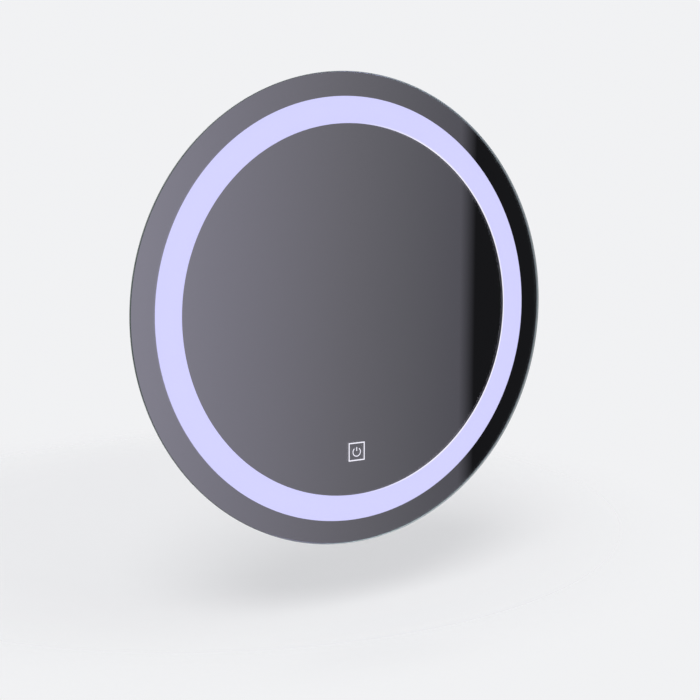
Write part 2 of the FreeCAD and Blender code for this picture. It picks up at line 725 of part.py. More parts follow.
# ================================================================ driver
def driver_base():
    """Tub of the driver's case, with an ear and a pair of lead holes at each end."""
    outer = rounded_block(0, driver_z, driver_length, driver_width, driver_open, pan_front, driver_corner)
    room = rounded_block(0, driver_z, driver_length - 2 * driver_wall, driver_width - 2 * driver_wall,
                         driver_open, pan_front - driver_wall, driver_room_corner)
    base = outer.cut(room)
    for side in (-1, 1):
        ear = block(side * (driver_length + ear_length) / 2, driver_z, ear_length, ear_width,
                    pan_front - ear_thickness, pan_front)
        base = base.fuse(ear)
        for z in (driver_z - lead_pitch / 2, driver_z + lead_pitch / 2):
            base = base.cut(lead_hole(side * (driver_length / 2 - 1.5 * driver_wall), z, mains_lead,
                                      2 * driver_wall, Vector(side, 0, 0)))
        for post_side in (-1, 1):
            x = side * (driver_length / 2 - driver_wall - board_edge - 2 * board_post_radius)
            z = driver_z + post_side * (driver_width / 2 - driver_wall - board_edge - board_post_radius)
            base = base.fuse(cylinder(x, z, board_post_radius, board_rear, pan_front - driver_wall))
    return bored(base, driver_screws, screw_radius + hole_clearance, pan_front - ear_thickness, pan_front)


def driver_lid():
    """Cover of the driver's case, with a rim that locates in the tub."""
    plate = rounded_block(0, driver_z, driver_length, driver_width, driver_front, driver_open, driver_corner)
    gap = driver_wall + lid_lip_clearance
    outer = rounded_block(0, driver_z, driver_length - 2 * gap, driver_width - 2 * gap,
                          driver_open, driver_open + lid_lip, driver_room_corner)
    inner_gap = gap + lid_lip_wall
    inner = block(0, driver_z, driver_length - 2 * inner_gap, driver_width - 2 * inner_gap,
                  driver_open, driver_open + lid_lip)
    return plate.fuse(outer.cut(inner))


def driver_board():
    """Circuit board of the driver."""
    length = driver_length - 2 * (driver_wall + board_edge)
    width = driver_width - 2 * (driver_wall + board_edge)
    return block(0, driver_z, length, width, board_front, board_rear)


def driver_transformer():
    """Transformer: ferrite core round a taped winding."""
    length, width, height = transformer_size
    core = block(0, driver_z, length, width, board_front - height, board_front)
    window = block(0, driver_z, length - 2 * transformer_leg, width,
                   board_front - height + transformer_yoke, board_front - transformer_yoke)
    return core.cut(window)


def driver_winding():
    """Taped winding through the transformer's core."""
    length, width, height = transformer_size
    return block(0, driver_z, length - 2 * transformer_leg, width + 2 * winding_bulge,
                 board_front - height + transformer_yoke, board_front - transformer_yoke)


def driver_capacitors():
    """Two smoothing capacitors on the mains side and one at the output."""
    pair = capacitor_radius + capacitor_gap / 2
    first = transformer_size[0] / 2 + capacitor_side + capacitor_radius
    places = [(first, pair), (first, -pair), (-first, 0)]
    cans = []
    for x, z in places:
        can = cylinder(x, driver_z + z, capacitor_radius, board_front - capacitor_height, board_front)
        rim = [e for e in can.Edges if abs(e.CenterOfMass.y - board_front + capacitor_height) < 1e-6]
        cans.append(can.makeFillet(capacitor_round, rim))
    return cans


def driver_terminals():
    """Plug-in terminals at the driver's two ends."""
    length, width, height = plug_block
    return [block(side * plug_x, driver_z, length, width, board_front - height, board_front) for side in (-1, 1)]


# ================================================================ touch switch
def touch_tape():
    """Foam tape frame between the film and the touch switch."""
    inner = touch_size - 2 * touch_tape_width
    frame = block(0, touch_z, touch_size, touch_size, film_back, touch_front)
    return frame.cut(block(0, touch_z, inner, inner, film_back, touch_front))


def icon_pad():
    """Opal pad that spreads light behind the symbol."""
    side = touch_size - 2 * touch_tape_width - 2 * icon_pad_gap
    return block(0, touch_z, side, side, film_back, touch_front)


def touch_case():
    """Shell of the touch switch, open to the glass, with corner posts for its board."""
    shell = rounded_block(0, touch_z, touch_size, touch_size, touch_front, touch_rear, touch_corner)
    inner = touch_size - 2 * touch_wall
    shell = shell.cut(block(0, touch_z, inner, inner, touch_front, touch_rear - touch_wall))
    reach = inner / 2 - touch_post_radius
    for sx in (-1, 1):
        for sz in (-1, 1):
            shell = shell.fuse(cylinder(sx * reach, touch_z + sz * reach, touch_post_radius,
                                        touch_board_rear, touch_rear - touch_wall))
    outside = touch_size / 2 + touch_wall / 2
    for offset in (-half_pitch, half_pitch):
        shell = shell.cut(lead_hole(-outside, touch_z + offset, strip_lead, 2 * touch_wall, Vector(1, 0, 0)))
        shell = shell.cut(lead_hole(strip_lead_x + offset, touch_z - outside, strip_lead, 2 * touch_wall,
                                    Vector(0, 0, 1)))
    return shell


def touch_board():
    """Circuit board of the touch switch."""
    side = 2 * touch_board_half
    return block(0, touch_z, side, side, touch_board_front, touch_board_rear)


def touch_sensor_chip():
    """Sensing chip on the board's wall side."""
    return block(0, touch_z, sensor_chip_size, sensor_chip_size, touch_board_rear,
                 touch_board_rear + sensor_chip_height)


def touch_backlights():
    """Small lamps that light the symbol."""
    reach = icon_size / 2 - backlight_size
    return [block(sx * reach, touch_z + sz * reach, backlight_size, backlight_size,
                  touch_board_front - backlight_height, touch_board_front) for sx in (-1, 1) for sz in (-1, 1)]


def touch_sockets():
    """Wire sockets on the board's wall side, for the feed at the left and the strip at the foot."""
    length, width = plug_size
    rear = touch_board_rear + plug_height
    left = block(-wire_reach, touch_z, width, length, touch_board_rear, rear)
    foot = block(strip_lead_x, touch_z - wire_reach, length, width, touch_board_rear, rear)
    return [left, foot]


# ================================================================ wiring
def live_lead():
    """From the block's right pole, out of the box and up to the driver's upper terminal."""
    x = pole_places[2]
    return lead([at(x, lead_y, wire_end), at(x, lead_y, upper_run), at(outer_column, lead_y, upper_run),
                 at(outer_column, lead_y, driver_z + half_pitch), at(plug_face, lead_y, driver_z + half_pitch)],
                mains_lead)


def neutral_lead():
    """From the block's middle pole, above the live lead, to the driver's lower terminal."""
    x = pole_places[1]
    return lead([at(x, lead_y, wire_end), at(x, lead_y, top_run), at(inner_column, lead_y, top_run),
                 at(inner_column, lead_y, driver_z - half_pitch), at(plug_face, lead_y, driver_z - half_pitch)],
                mains_lead)


def earth_lead():
    """From the block's left pole, then sloping down to the tag on the back pan."""
    x = pole_places[0]
    landing = barrel_x + earth_barrel_length + earth_drop_start
    return lead([at(x, lead_y, wire_end), at(x, lead_y, upper_run), at(landing + earth_slope, lead_y, upper_run),
                 at(landing, barrel_y, upper_run), at(barrel_x, barrel_y, upper_run)], mains_lead)


def feed_lead(side):
    """Low-voltage lead from the driver to the touch switch; side is +1 for the outer one."""
    column = lead_column + side * half_pitch
    return lead([at(-plug_face, lead_y, driver_z + side * half_pitch),
                 at(-column, lead_y, driver_z + side * half_pitch),
                 at(-column, lead_y, touch_z - side * half_pitch),
                 at(-wire_face, lead_y, touch_z - side * half_pitch)], strip_lead)


def strip_feed(side):
    """Straight lead from the touch switch down to the end of the light strip."""
    x = strip_lead_x + side * half_pitch
    edge = abs(x) + strip_lead / 2
    foot = -math.sqrt((strip_face - solder_height) ** 2 - edge ** 2)
    top = touch_z - wire_face
    return Part.makeCylinder(strip_lead / 2, top - foot, at(x, lead_y, foot), Vector(0, 0, 1))


def lead_clip(x, z, diameter):
    """Stand-off clip on the back pan that holds a pair of upright leads."""
    bore = diameter / 2 + lead_clearance / 2
    width = lead_pitch + 2 * bore + 2 * clip_wall
    front = lead_y - bore - clip_wall
    body = block(x, z, width, clip_length, front, pan_front)
    foot = block(x, z, width + 2 * clip_foot_side, clip_length, pan_front - clip_foot, pan_front)
    body = body.fuse(foot).removeSplitter()
    for offset in (-half_pitch, half_pitch):
        body = body.cut(Part.makeCylinder(bore, clip_length, at(x + offset, lead_y, z - clip_length / 2),
                                          Vector(0, 0, 1)))
    return body


def lead_clips():
    """Clips on the mains pair beside the driver, on the strip's pair and down the feed pair."""
    mains_clip = lead_clip(lead_column - 2 * lead_bend, (upper_run + top_run) / 2, mains_lead)
    mains_clip.rotate(mains_clip.BoundBox.Center, DEPTH_AXIS, 90)
    strip_middle = (touch_z - touch_size / 2 - strip_face) / 2
    clips = [mains_clip, lead_clip(strip_lead_x, strip_middle, strip_lead)]
    for n in range(feed_clip_count):
        step = (driver_z - touch_z) / (feed_clip_count + 1)
        clips.append(lead_clip(-lead_column, driver_z - (n + 1) * step, strip_lead))
    return clips


def earth_tag():
    """Ring terminal under the earth nut, with a barrel crimped on the lead."""
    x, z = earth_point
    y0, y1 = pan_front - earth_tag_thickness, pan_front
    eye = cylinder(x, z, earth_tag_radius, y0, y1)
    tongue = block(x + earth_tag_reach / 2, z, earth_tag_reach, earth_tongue_width, y0, y1)
    barrel_start = at(barrel_x, barrel_y, z)
    barrel = Part.makeCylinder(barrel_radius, earth_barrel_length, barrel_start, Vector(1, 0, 0))
    bore = Part.makeCylinder(mains_lead / 2 + fit_clearance, earth_barrel_length, barrel_start, Vector(1, 0, 0))
    root = block(barrel_x + earth_tongue_root / 2, z, earth_tongue_root, earth_tongue_width, y0, y1)
    tag = eye.fuse(tongue).fuse(root.cut(bore)).fuse(barrel.cut(bore)).removeSplitter()
    return bored(tag, [earth_point], earth_screw_radius + fit_clearance, y0, y1)


def earth_nut():
    """Hexagon nut on the earth screw."""
    x, z = earth_point
    y1 = pan_front - earth_tag_thickness
    corner = earth_nut_flats / math.sqrt(3)
    corners = [at(x + corner * math.cos(math.radians(60 * n)), y1 - earth_nut_height,
                  z + corner * math.sin(math.radians(60 * n))) for n in range(6)]
    nut = Part.Face(Part.makePolygon(corners + corners[:1])).extrude(Vector(0, earth_nut_height, 0))
    return bored(nut, [earth_point], earth_screw_radius + fit_clearance, y1 - earth_nut_height, y1)


# ================================================================ files
os.makedirs("parts", exist_ok=True)

save("mirror_glass", mirror_glass())
save("silver_coating", *coating(glass_back, silver_back))
save("safety_film", *coating(silver_back, film_back))
save("diffuser_ring", ring(diffuser_inner, diffuser_outer, film_back, film_back + diffuser_thickness))
save("led_strip", led_strip())
save("led_chips", *led_chips())
save("glass_tape", ring(tape_outer - tape_width, tape_outer, film_back, flange_front))
save("silicone_bead", turned([(bead_inner, film_back), (bead_inner + bead_width, film_back),
                              (bead_inner, film_back + bead_height)]))

save("frame_hoop", frame_hoop())
save("splice_plate", splice_plate())
save("splice_rivets", *splice_rivets())
save("back_pan", back_pan())
save("pan_screws", *[pan_screw(x, z, pan_rear, pan_screw_length, 1) for x, z in pan_screws])
save("rubber_bumpers", *[rubber_bumper(x, z) for x, z in bumpers])
save("bumper_screws", *[pan_screw(x, z, pan_rear + bumper_seat, pan_screw_length, 1) for x, z in bumpers])

save("wall_rail", wall_rail())
save("mirror_rail", mirror_rail())
save("rail_rivets", *[rivet(x, z, pan_rear + rail_sheet, pan_front) for x, z in rail_rivets])

save("terminal_box", terminal_box())
save("terminal_box_lid", terminal_box_lid())
save("lid_screws", *[pan_screw(x, z, lid_rear, pan_screw_length, 1) for x, z in lid_screws])
save("cable_grommet", cable_grommet())
save("terminal_block", terminal_block())
save("terminal_inserts", *terminal_inserts())
save("terminal_screws", *terminal_screws())
save("cord_clamp", cord_clamp())
save("clamp_screws", *[pan_screw(x, z, clamp_seat, clamp_screw_length, 1) for x, z in clamp_posts])

save("driver_base", driver_base())
save("driver_lid", driver_lid())
save("driver_board", driver_board())
save("driver_transformer", driver_transformer())
save("driver_winding", driver_winding())
save("driver_capacitors", *driver_capacitors())
save("driver_terminals", *driver_terminals())
save("driver_screws", *[pan_screw(x, z, pan_front - ear_thickness, driver_screw_length, -1)
                        for x, z in driver_screws])

save("touch_tape", touch_tape())
save("icon_pad", icon_pad())
save("touch_case", touch_case())
save("touch_board", touch_board())
save("touch_sensor_chip", touch_sensor_chip())
save("touch_backlights", *touch_backlights())
save("touch_sockets", *touch_sockets())

save("live_lead", live_lead())
save("neutral_lead", neutral_lead())
save("earth_lead", earth_lead())
save("feed_lead_positive", feed_lead(1))
save("feed_lead_negative", feed_lead(-1))
save("strip_lead_positive", strip_feed(1))
save("strip_lead_negative", strip_feed(-1))
save("lead_clips", *lead_clips())
save("earth_tag", earth_tag())
save("earth_nut", earth_nut())
save("earth_screw", pan_screw(*earth_point, pan_rear, earth_screw_length, 1, earth_screw_radius))
print("lift-off travel", round(lift_off, 2), "mm")
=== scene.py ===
import math

import bmesh
import bpy
from mathutils import Matrix, Vector


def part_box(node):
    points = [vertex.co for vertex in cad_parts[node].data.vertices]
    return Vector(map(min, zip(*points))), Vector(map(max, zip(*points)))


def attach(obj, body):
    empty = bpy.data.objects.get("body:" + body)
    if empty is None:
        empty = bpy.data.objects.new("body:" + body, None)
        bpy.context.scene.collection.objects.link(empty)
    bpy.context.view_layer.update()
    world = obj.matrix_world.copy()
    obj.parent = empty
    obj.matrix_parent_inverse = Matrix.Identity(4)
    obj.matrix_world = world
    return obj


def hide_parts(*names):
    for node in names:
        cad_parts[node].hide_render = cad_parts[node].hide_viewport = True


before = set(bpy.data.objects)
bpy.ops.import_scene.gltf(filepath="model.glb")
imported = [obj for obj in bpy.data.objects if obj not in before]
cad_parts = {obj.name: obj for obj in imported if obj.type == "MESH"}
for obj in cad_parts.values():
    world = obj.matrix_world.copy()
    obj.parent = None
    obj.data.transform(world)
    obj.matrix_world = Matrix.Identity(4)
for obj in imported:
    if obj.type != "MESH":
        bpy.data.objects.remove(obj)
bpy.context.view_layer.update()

# Looks of a round lit mirror. Metres; +X right, +Z up, +Y into the wall.
# Turned pieces are turned about the axis of the glass, unless they say another.

MM = 0.001
ORIGIN = Vector((0, 0, 0))

# ---------------------------------------------------------------- sizes that the solids share
glass_low, glass_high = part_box("mirror_glass")
GLASS_FRONT, GLASS_BACK = glass_low[1], glass_high[1]
MIRROR_RADIUS = (glass_high[2] - glass_low[2]) / 2
CENTRE = Vector((0, 0, (glass_high[2] + glass_low[2]) / 2))
ARRIS = 0.6 * MM
LAYER_GAP = 0.02 * MM               # between faces that would lie in one plane

BAND_OUTER = 270.0 * MM
BAND_INNER = 237.0 * MM
BAND_HIGHLIGHT_WIDTH = 2.4 * MM                # painted highlight: width of the whiter line along the band's inner edge
BAND_HIGHLIGHT_RISE = 120.0 * MM         # right of the middle, over which that painted highlight comes up

SYMBOL_DROP = 180.5 * MM
SYMBOL_FRAME = 24.2 * MM
SYMBOL_FRAME_STROKE = 1.5 * MM
SYMBOL_RADIUS = 5.6 * MM
SYMBOL_STROKE = 1.2 * MM
SYMBOL_GAP = math.radians(39.0)
SYMBOL_SINK = 0.5 * MM              # the circle's middle lies this far below the frame's
SYMBOL_BAR_FOOT = 1.2 * MM
SYMBOL_BAR_HEAD = 6.4 * MM

HOOP_INNER = 276.5 * MM
HOOP_WALL = 1.5 * MM
FLANGE_OUTER = 288.0 * MM
LEDGE_INNER = 264.0 * MM
HOOP_JOINT = 0.4 * MM
HOOP_EASE = 0.25 * MM
BEAD_WIDTH = 3.0 * MM

TURN_STEPS = 384
SMALL_STEPS = 48
ARC_STEPS = 64                      # along the symbol's circle
DRILL_STEPS = 24

NOTHING = 1e-9                      # lengths and angles under this count as none
WELD = 0.002 * MM                   # corners nearer than this are one
FLAT = 0.5                          # degrees under which neighbouring faces are one
CREASE = 32.0                       # degrees past which an edge stays sharp
SOFT_CREASE = 30.0                  # the same, on copies of CAD nodes
EASED_ANGLE = 40.0                  # degrees past which their edges are eased

LIT_BAND = (0.672, 0.663, 1.035)
# the next colour is a painted highlight: the whiter line on the right half of the ring's inner edge
PAINTED_EDGE_HIGHLIGHT = (1.15, 1.12, 1.15)
LIT_SYMBOL = (1.02, 1.0, 1.12)
WHITE = (0.80, 0.80, 0.79)
CREAM = (0.76, 0.73, 0.62)
GREY = (0.20, 0.205, 0.21)
TRACK_GRID = 2.2 * MM               # squares that the boards' copper tracks keep to


# ================================================================ shader tools
class Value:
    """One output of a node. Arithmetic on it adds Math nodes."""

    def __init__(self, paint, socket):
        self.paint = paint
        self.socket = socket

    def math(self, operation, *others):
        return self.paint.node("ShaderNodeMath", {"operation": operation}, (self, *others))

    def __add__(self, other):
        return self.math("ADD", other)

    __radd__ = __add__

    def __mul__(self, other):
        return self.math("MULTIPLY", other)

    __rmul__ = __mul__

    def __sub__(self, other):
        return self.math("SUBTRACT", other)

    def __rsub__(self, other):
        return self.paint.node("ShaderNodeMath", {"operation": "SUBTRACT"}, (other, self))

    def part(self, name):
        """Another output of the same node."""
        return Value(self.paint, self.socket.node.outputs[name])


class Paint:
    """Builds the nodes of one material or of the world. Sizes are in metres, scales in cells to the metre."""

    def __init__(self, owner):
        owner.use_nodes = True
        self.tree = owner.node_tree
        self.tree.nodes.clear()

    def node(self, kind, settings=None, values=(), output=0):
        """A node with its settings made first, then its sockets fed with numbers, colours or links."""
        node = self.tree.nodes.new(kind)
        for key, setting in (settings or {}).items():
            if key == "stops":
                self.stops(node.color_ramp, setting)
            else:
                setattr(node, key, setting)
        pairs = values.items() if isinstance(values, dict) else enumerate(values)
        for socket, value in pairs:
            self.feed(node.inputs[socket], value)
        return Value(self, node.outputs[output]) if node.outputs else node

    def feed(self, socket, value):
        if isinstance(value, Value):
            self.tree.links.new(value.socket, socket)
        elif socket.type == "RGBA" and len(value) == 3:
            socket.default_value = (*value, 1)
        else:
            socket.default_value = value

    @staticmethod
    def stops(ramp, stops):
        while len(ramp.elements) < len(stops):
            ramp.elements.new(1)
        for element, (place, colour) in zip(ramp.elements, stops):
            element.position = place
            element.color = (*colour, 1)

    def place(self, scale=(1, 1, 1), shift=(0, 0, 0)):
        """Position on the piece, stretched by scale."""
        where = self.node("ShaderNodeTexCoord", output="Object")
        return self.node("ShaderNodeMapping", {}, {"Vector": where, "Scale": scale, "Location": shift})

    def from_axis(self):
        """Position relative to the middle of the glass, as x, y and z."""
        where = self.place(shift=tuple(-CENTRE))
        split = self.node("ShaderNodeSeparateXYZ", {}, [where])
        return split, split.part("Y"), split.part("Z")

    def noise(self, scale, where=None, detail=3.0, rough=0.5):
        return self.node("ShaderNodeTexNoise", {}, {"Vector": where or self.place(), "Scale": scale,
                                                    "Detail": detail, "Roughness": rough})

    def cells(self, scale, where=None, output="Distance"):
        values = {"Vector": where or self.place(), "Scale": scale}
        return self.node("ShaderNodeTexVoronoi", {}, values, output)

    def spread(self, value, low, high, from_low=0.0, from_high=1.0):
        """value carried from one range to another, and held inside it."""
        return self.node("ShaderNodeMapRange", {"clamp": True}, [value, from_low, from_high, low, high])

    def blend(self, factor, first, second):
        return self.node("ShaderNodeMix", {"data_type": "RGBA"}, {0: factor, 6: first, 7: second}, 2)

    def bump(self, height, depth, strength):
        return self.node("ShaderNodeBump", {}, {"Strength": strength, "Distance": depth, "Height": height})

    def surface(self, **values):
        """Principled shader to the output. base_color feeds Base Color, and so on."""
        named = {key.replace("_", " ").title().replace("Ior", "IOR"): value for key, value in values.items()}
        self.finish(self.node("ShaderNodeBsdfPrincipled", {}, named))

    def finish(self, shader):
        self.node("ShaderNodeOutputMaterial", {}, [shader])


def material(recipe):
    """Turns a recipe into a function that makes its material once for each name and set of arguments."""
    made = {}

    def make(name=recipe.__name__, **choices):
        if name not in made:
            made[name] = bpy.data.materials.new(name)
            recipe(Paint(made[name]), **choices)
        return made[name]
    return make


# ================================================================ finishes of the glass
@material
def glass_face(paint):
    """Polished float glass, with wipe marks too faint to see except in a glancing light."""
    wipes = paint.noise(9.0, paint.place((1, 1, 0.35)), 4.0, 0.6)
    paint.surface(base_color=(0.985, 0.995, 0.992), roughness=paint.spread(wipes, 0.0, 0.012, 0.45, 0.8),
                  ior=1.5, transmission_weight=1.0)


@material
def glass_edge(paint):
    """Ground and polished edge: greener, with the wheel's fine lines along it."""
    lines = paint.noise(2600.0, paint.place((0.03, 1, 0.03)), 2.0)
    paint.surface(base_color=paint.blend(lines, (0.45, 0.66, 0.60), (0.58, 0.78, 0.72)),
                  roughness=paint.spread(lines, 0.10, 0.26), ior=1.5, transmission_weight=0.85,
                  normal=paint.bump(lines, 0.02 * MM, 0.4))


@material
def silvering(paint):
    """Silvered back of the glass, seen through it."""
    cloud = paint.noise(6.0, None, 2.0)
    paint.surface(base_color=paint.blend(cloud, (0.925, 0.93, 0.93), (0.945, 0.948, 0.946)),
                  roughness=paint.spread(cloud, 0.0, 0.006, 0.5, 0.9), metallic=1.0)


@material
def etched_band(paint):
    """The lit ring, even all round, with a painted highlight: a whiter line along the right half of its inner
    edge.
    """
    x, _, z = paint.from_axis()
    radius = (x * x + z * z).math("SQRT")
    # painted highlight: a whiter line along the inner edge, on the right half only
    line = (paint.spread(radius, 1.0, 0.0, BAND_INNER, BAND_INNER + BAND_HIGHLIGHT_WIDTH)
            * paint.spread(x, 0.0, 1.0, 0.0, BAND_HIGHLIGHT_RISE))
    grit = paint.noise(1900.0, None, 2.0)
    slow = paint.noise(14.0, None, 1.0)
    even = paint.blend(paint.spread(grit * 0.6 + slow * 0.4, 0.0, 1.0, 0.35, 0.65),
                       tuple(c * 0.985 for c in LIT_BAND), LIT_BAND)
    paint.surface(base_color=(0.10, 0.10, 0.11), roughness=0.75, specular_ior_level=0.1,
                  emission_color=paint.blend(line, even, PAINTED_EDGE_HIGHLIGHT), emission_strength=1.0,
                  normal=paint.bump(grit, 0.05 * MM, 0.5))


@material
def etched_symbol(paint):
    """The lit lines of the power symbol."""
    grit = paint.noise(2400.0, None, 2.0)
    paint.surface(base_color=(0.10, 0.10, 0.11), roughness=0.75, specular_ior_level=0.1,
                  emission_color=paint.blend(grit, tuple(c * 0.95 for c in LIT_SYMBOL), LIT_SYMBOL),
                  emission_strength=1.0, normal=paint.bump(grit, 0.05 * MM, 0.5))


@material
def backing_film(paint):
    """Grey safety film over the silvering: faint orange peel and a few trapped specks."""
    peel = paint.noise(420.0, None, 3.0)
    specks = paint.spread(paint.cells(160.0), 1.0, 0.0, 0.03, 0.07)
    grey = paint.blend(paint.noise(18.0), (0.235, 0.265, 0.270), (0.285, 0.315, 0.320))
    paint.surface(base_color=paint.blend(specks, grey, (0.38, 0.41, 0.41)),
                  roughness=paint.spread(peel, 0.32, 0.48),
                  normal=paint.bump(peel + specks * 0.5, 0.06 * MM, 0.35))


@material
def foam_tape(paint):
    """Closed-cell foam."""
    pores = paint.cells(1500.0)
    paint.surface(base_color=paint.blend(pores, (0.012, 0.012, 0.013), (0.05, 0.05, 0.052)), roughness=0.92,
                  normal=paint.bump(pores, 0.15 * MM, 0.7))


@material
def silicone(paint):
    """Tooled translucent bead, a little wavy."""
    waves = paint.noise(60.0, None, 2.0)
    paint.surface(base_color=paint.blend(waves, (0.60, 0.60, 0.58), (0.70, 0.70, 0.68)),
                  roughness=paint.spread(waves, 0.25, 0.42), normal=paint.bump(waves, 0.4 * MM, 0.5))


@material
def opal(paint):
    """Opal acrylic, satin, lit from the side."""
    haze = paint.noise(40.0, None, 2.0)
    paint.surface(base_color=paint.blend(haze, (0.86, 0.86, 0.90), (0.92, 0.92, 0.95)),
                  roughness=paint.spread(haze, 0.28, 0.38),
                  emission_color=(0.66, 0.66, 1.0), emission_strength=0.35)


# ================================================================ metal finishes
@material
def drawn_aluminium(paint):
    """Rolled section: die lines run along it, round the hoop, with faint handling marks."""
    x, y, z = paint.from_axis()
    radius = (x * x + z * z).math("SQRT")
    across = paint.node("ShaderNodeCombineXYZ", {}, [radius, y, x * 0.004])
    lines = paint.noise(5200.0, across, 3.0, 0.6)
    broad = paint.noise(700.0, across, 2.0)
    marks = paint.noise(26.0, None, 4.0, 0.65)
    tone = lines * 0.35 + broad * 0.35 + marks * 0.3
    paint.surface(base_color=paint.blend(tone, (0.56, 0.57, 0.585), (0.76, 0.77, 0.78)), metallic=1.0,
                  roughness=paint.spread(lines * 0.6 + marks * 0.4, 0.24, 0.44, 0.3, 0.7),
                  normal=paint.bump(lines * 0.7 + broad * 0.3, 0.04 * MM, 0.5))


@material
def galvanised_sheet(paint):
    """Hot-dip zinc: flat crystals of two sizes, each with its own tone, and rub marks."""
    where = paint.place()
    wobble = paint.noise(30.0, where, 2.0).part("Color")
    bent = paint.node("ShaderNodeMix", {"data_type": "VECTOR"}, {0: 0.012, 4: where, 5: wobble}, 1)
    large = paint.cells(125.0, bent, output="Color")
    small = paint.cells(300.0, bent, output="Color")
    fine = paint.noise(900.0, paint.place((0.2, 1, 1)), 3.0)
    tone = (paint.node("ShaderNodeSeparateColor", {}, [large]) * 0.6
            + paint.node("ShaderNodeSeparateColor", {}, [small]) * 0.4)
    rub = paint.noise(7.0, None, 3.0)
    paint.surface(base_color=paint.blend(tone * 0.8 + rub * 0.2, (0.44, 0.455, 0.47), (0.68, 0.69, 0.70)),
                  metallic=1.0, roughness=paint.spread(tone * 0.6 + fine * 0.4, 0.30, 0.52),
                  normal=paint.bump(tone * 0.4 + fine * 0.6, 0.03 * MM, 0.4))


@material
def zinc_rail(paint):
    """Zinc-plated strip: bright rolling lines along X over a slight yellow-blue bloom."""
    lines = paint.noise(1800.0, paint.place((0.012, 1, 1)), 3.0, 0.6)
    bloom = paint.noise(16.0, None, 3.0)
    cool = paint.blend(bloom, (0.56, 0.58, 0.62), (0.66, 0.655, 0.63))
    paint.surface(base_color=paint.blend(paint.spread(lines, 0.0, 0.5, 0.3, 0.7), cool, (0.80, 0.81, 0.82)),
                  metallic=1.0, roughness=paint.spread(lines * 0.7 + bloom * 0.3, 0.22, 0.42, 0.3, 0.7),
                  normal=paint.bump(lines, 0.03 * MM, 0.45))


@material
def bright_zinc(paint):
    """Plated small steel pieces."""
    bloom = paint.noise(240.0, None, 3.0)
    paint.surface(base_color=paint.blend(bloom, (0.60, 0.62, 0.66), (0.80, 0.80, 0.78)), metallic=1.0,
                  roughness=paint.spread(bloom, 0.16, 0.34), normal=paint.bump(bloom, 0.04 * MM, 0.3))


@material
def plain_aluminium(paint):
    """Rivets, satin from the setting tool."""
    scuff = paint.noise(500.0, None, 3.0)
    paint.surface(base_color=paint.blend(scuff, (0.62, 0.63, 0.64), (0.80, 0.81, 0.82)), metallic=1.0,
                  roughness=paint.spread(scuff, 0.24, 0.44), normal=paint.bump(scuff, 0.04 * MM, 0.4))


@material
def turned_brass(paint):
    """Brass with lathe lines."""
    lines = paint.noise(3000.0, paint.place((0.1, 1, 0.1)), 2.0)
    paint.surface(base_color=paint.blend(lines, (0.66, 0.45, 0.18), (0.83, 0.64, 0.32)), metallic=1.0,
                  roughness=paint.spread(lines, 0.2, 0.36), normal=paint.bump(lines, 0.03 * MM, 0.3))


# ================================================================ plastic, rubber and board finishes
@material
def moulded(paint, colour, grain, gloss, depth=0.05):
    """Moulded plastic with a spark-eroded grain, depth in mm, and slow sink marks. gloss is its roughness."""
    pits = paint.noise(grain, None, 3.0, 0.6)
    sink = paint.noise(22.0, None, 2.0)
    dark = tuple(c * 0.86 for c in colour)
    light = tuple(min(c * 1.08, 1) for c in colour)
    paint.surface(base_color=paint.blend(pits * 0.5 + sink * 0.5, dark, light),
                  roughness=paint.spread(pits * 0.6 + sink * 0.4, gloss - 0.1, gloss + 0.1, 0.3, 0.7),
                  normal=paint.bump(pits + sink * 0.3, depth * MM, 0.5))


@material
def box_lid(paint):
    """Lid of the terminal box: grained, with a shallow moulded line all round, in from the edge; the line is
    bumped, and darkened in the colour as painted shade.
    """
    inset, line_half, line_fade = 9 * MM, 0.35 * MM, 0.8 * MM
    low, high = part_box("terminal_box_lid")
    x, _, z = paint.from_axis()
    reach_x = x.math("ABSOLUTE") - ((high[0] - low[0]) / 2 - inset)
    reach_z = (z - ((high[2] + low[2]) / 2 - CENTRE.z)).math("ABSOLUTE") - ((high[2] - low[2]) / 2 - inset)
    groove = paint.spread(reach_x.math("MAXIMUM", reach_z).math("ABSOLUTE"), 1.0, 0.0, line_half, line_fade)
    pits = paint.noise(1300.0, None, 3.0, 0.6)
    sink = paint.noise(26.0, None, 2.0)
    dark, light = tuple(c * 0.74 for c in GREY), tuple(c * 1.18 for c in GREY)
    # the moulded line is darkened in the base colour: painted shade in the recess
    paint.surface(base_color=paint.blend(pits * 0.6 + sink * 0.4 - groove * 0.5, dark, light),
                  roughness=paint.spread(pits * 0.6 + sink * 0.4, 0.38, 0.58, 0.3, 0.7),
                  normal=paint.bump(pits * 0.25 - groove, 0.35 * MM, 0.6))


@material
def black_rubber(paint):
    """Moulded rubber, dull, with a trace of dust in its grain."""
    grain = paint.noise(1400.0, None, 3.0)
    dust = paint.spread(paint.noise(55.0, None, 4.0, 0.65), 0.0, 0.35, 0.5, 0.85)
    paint.surface(base_color=paint.blend(dust, (0.016, 0.016, 0.017), (0.11, 0.108, 0.10)),
                  roughness=paint.spread(grain, 0.62, 0.86), normal=paint.bump(grain, 0.08 * MM, 0.6))


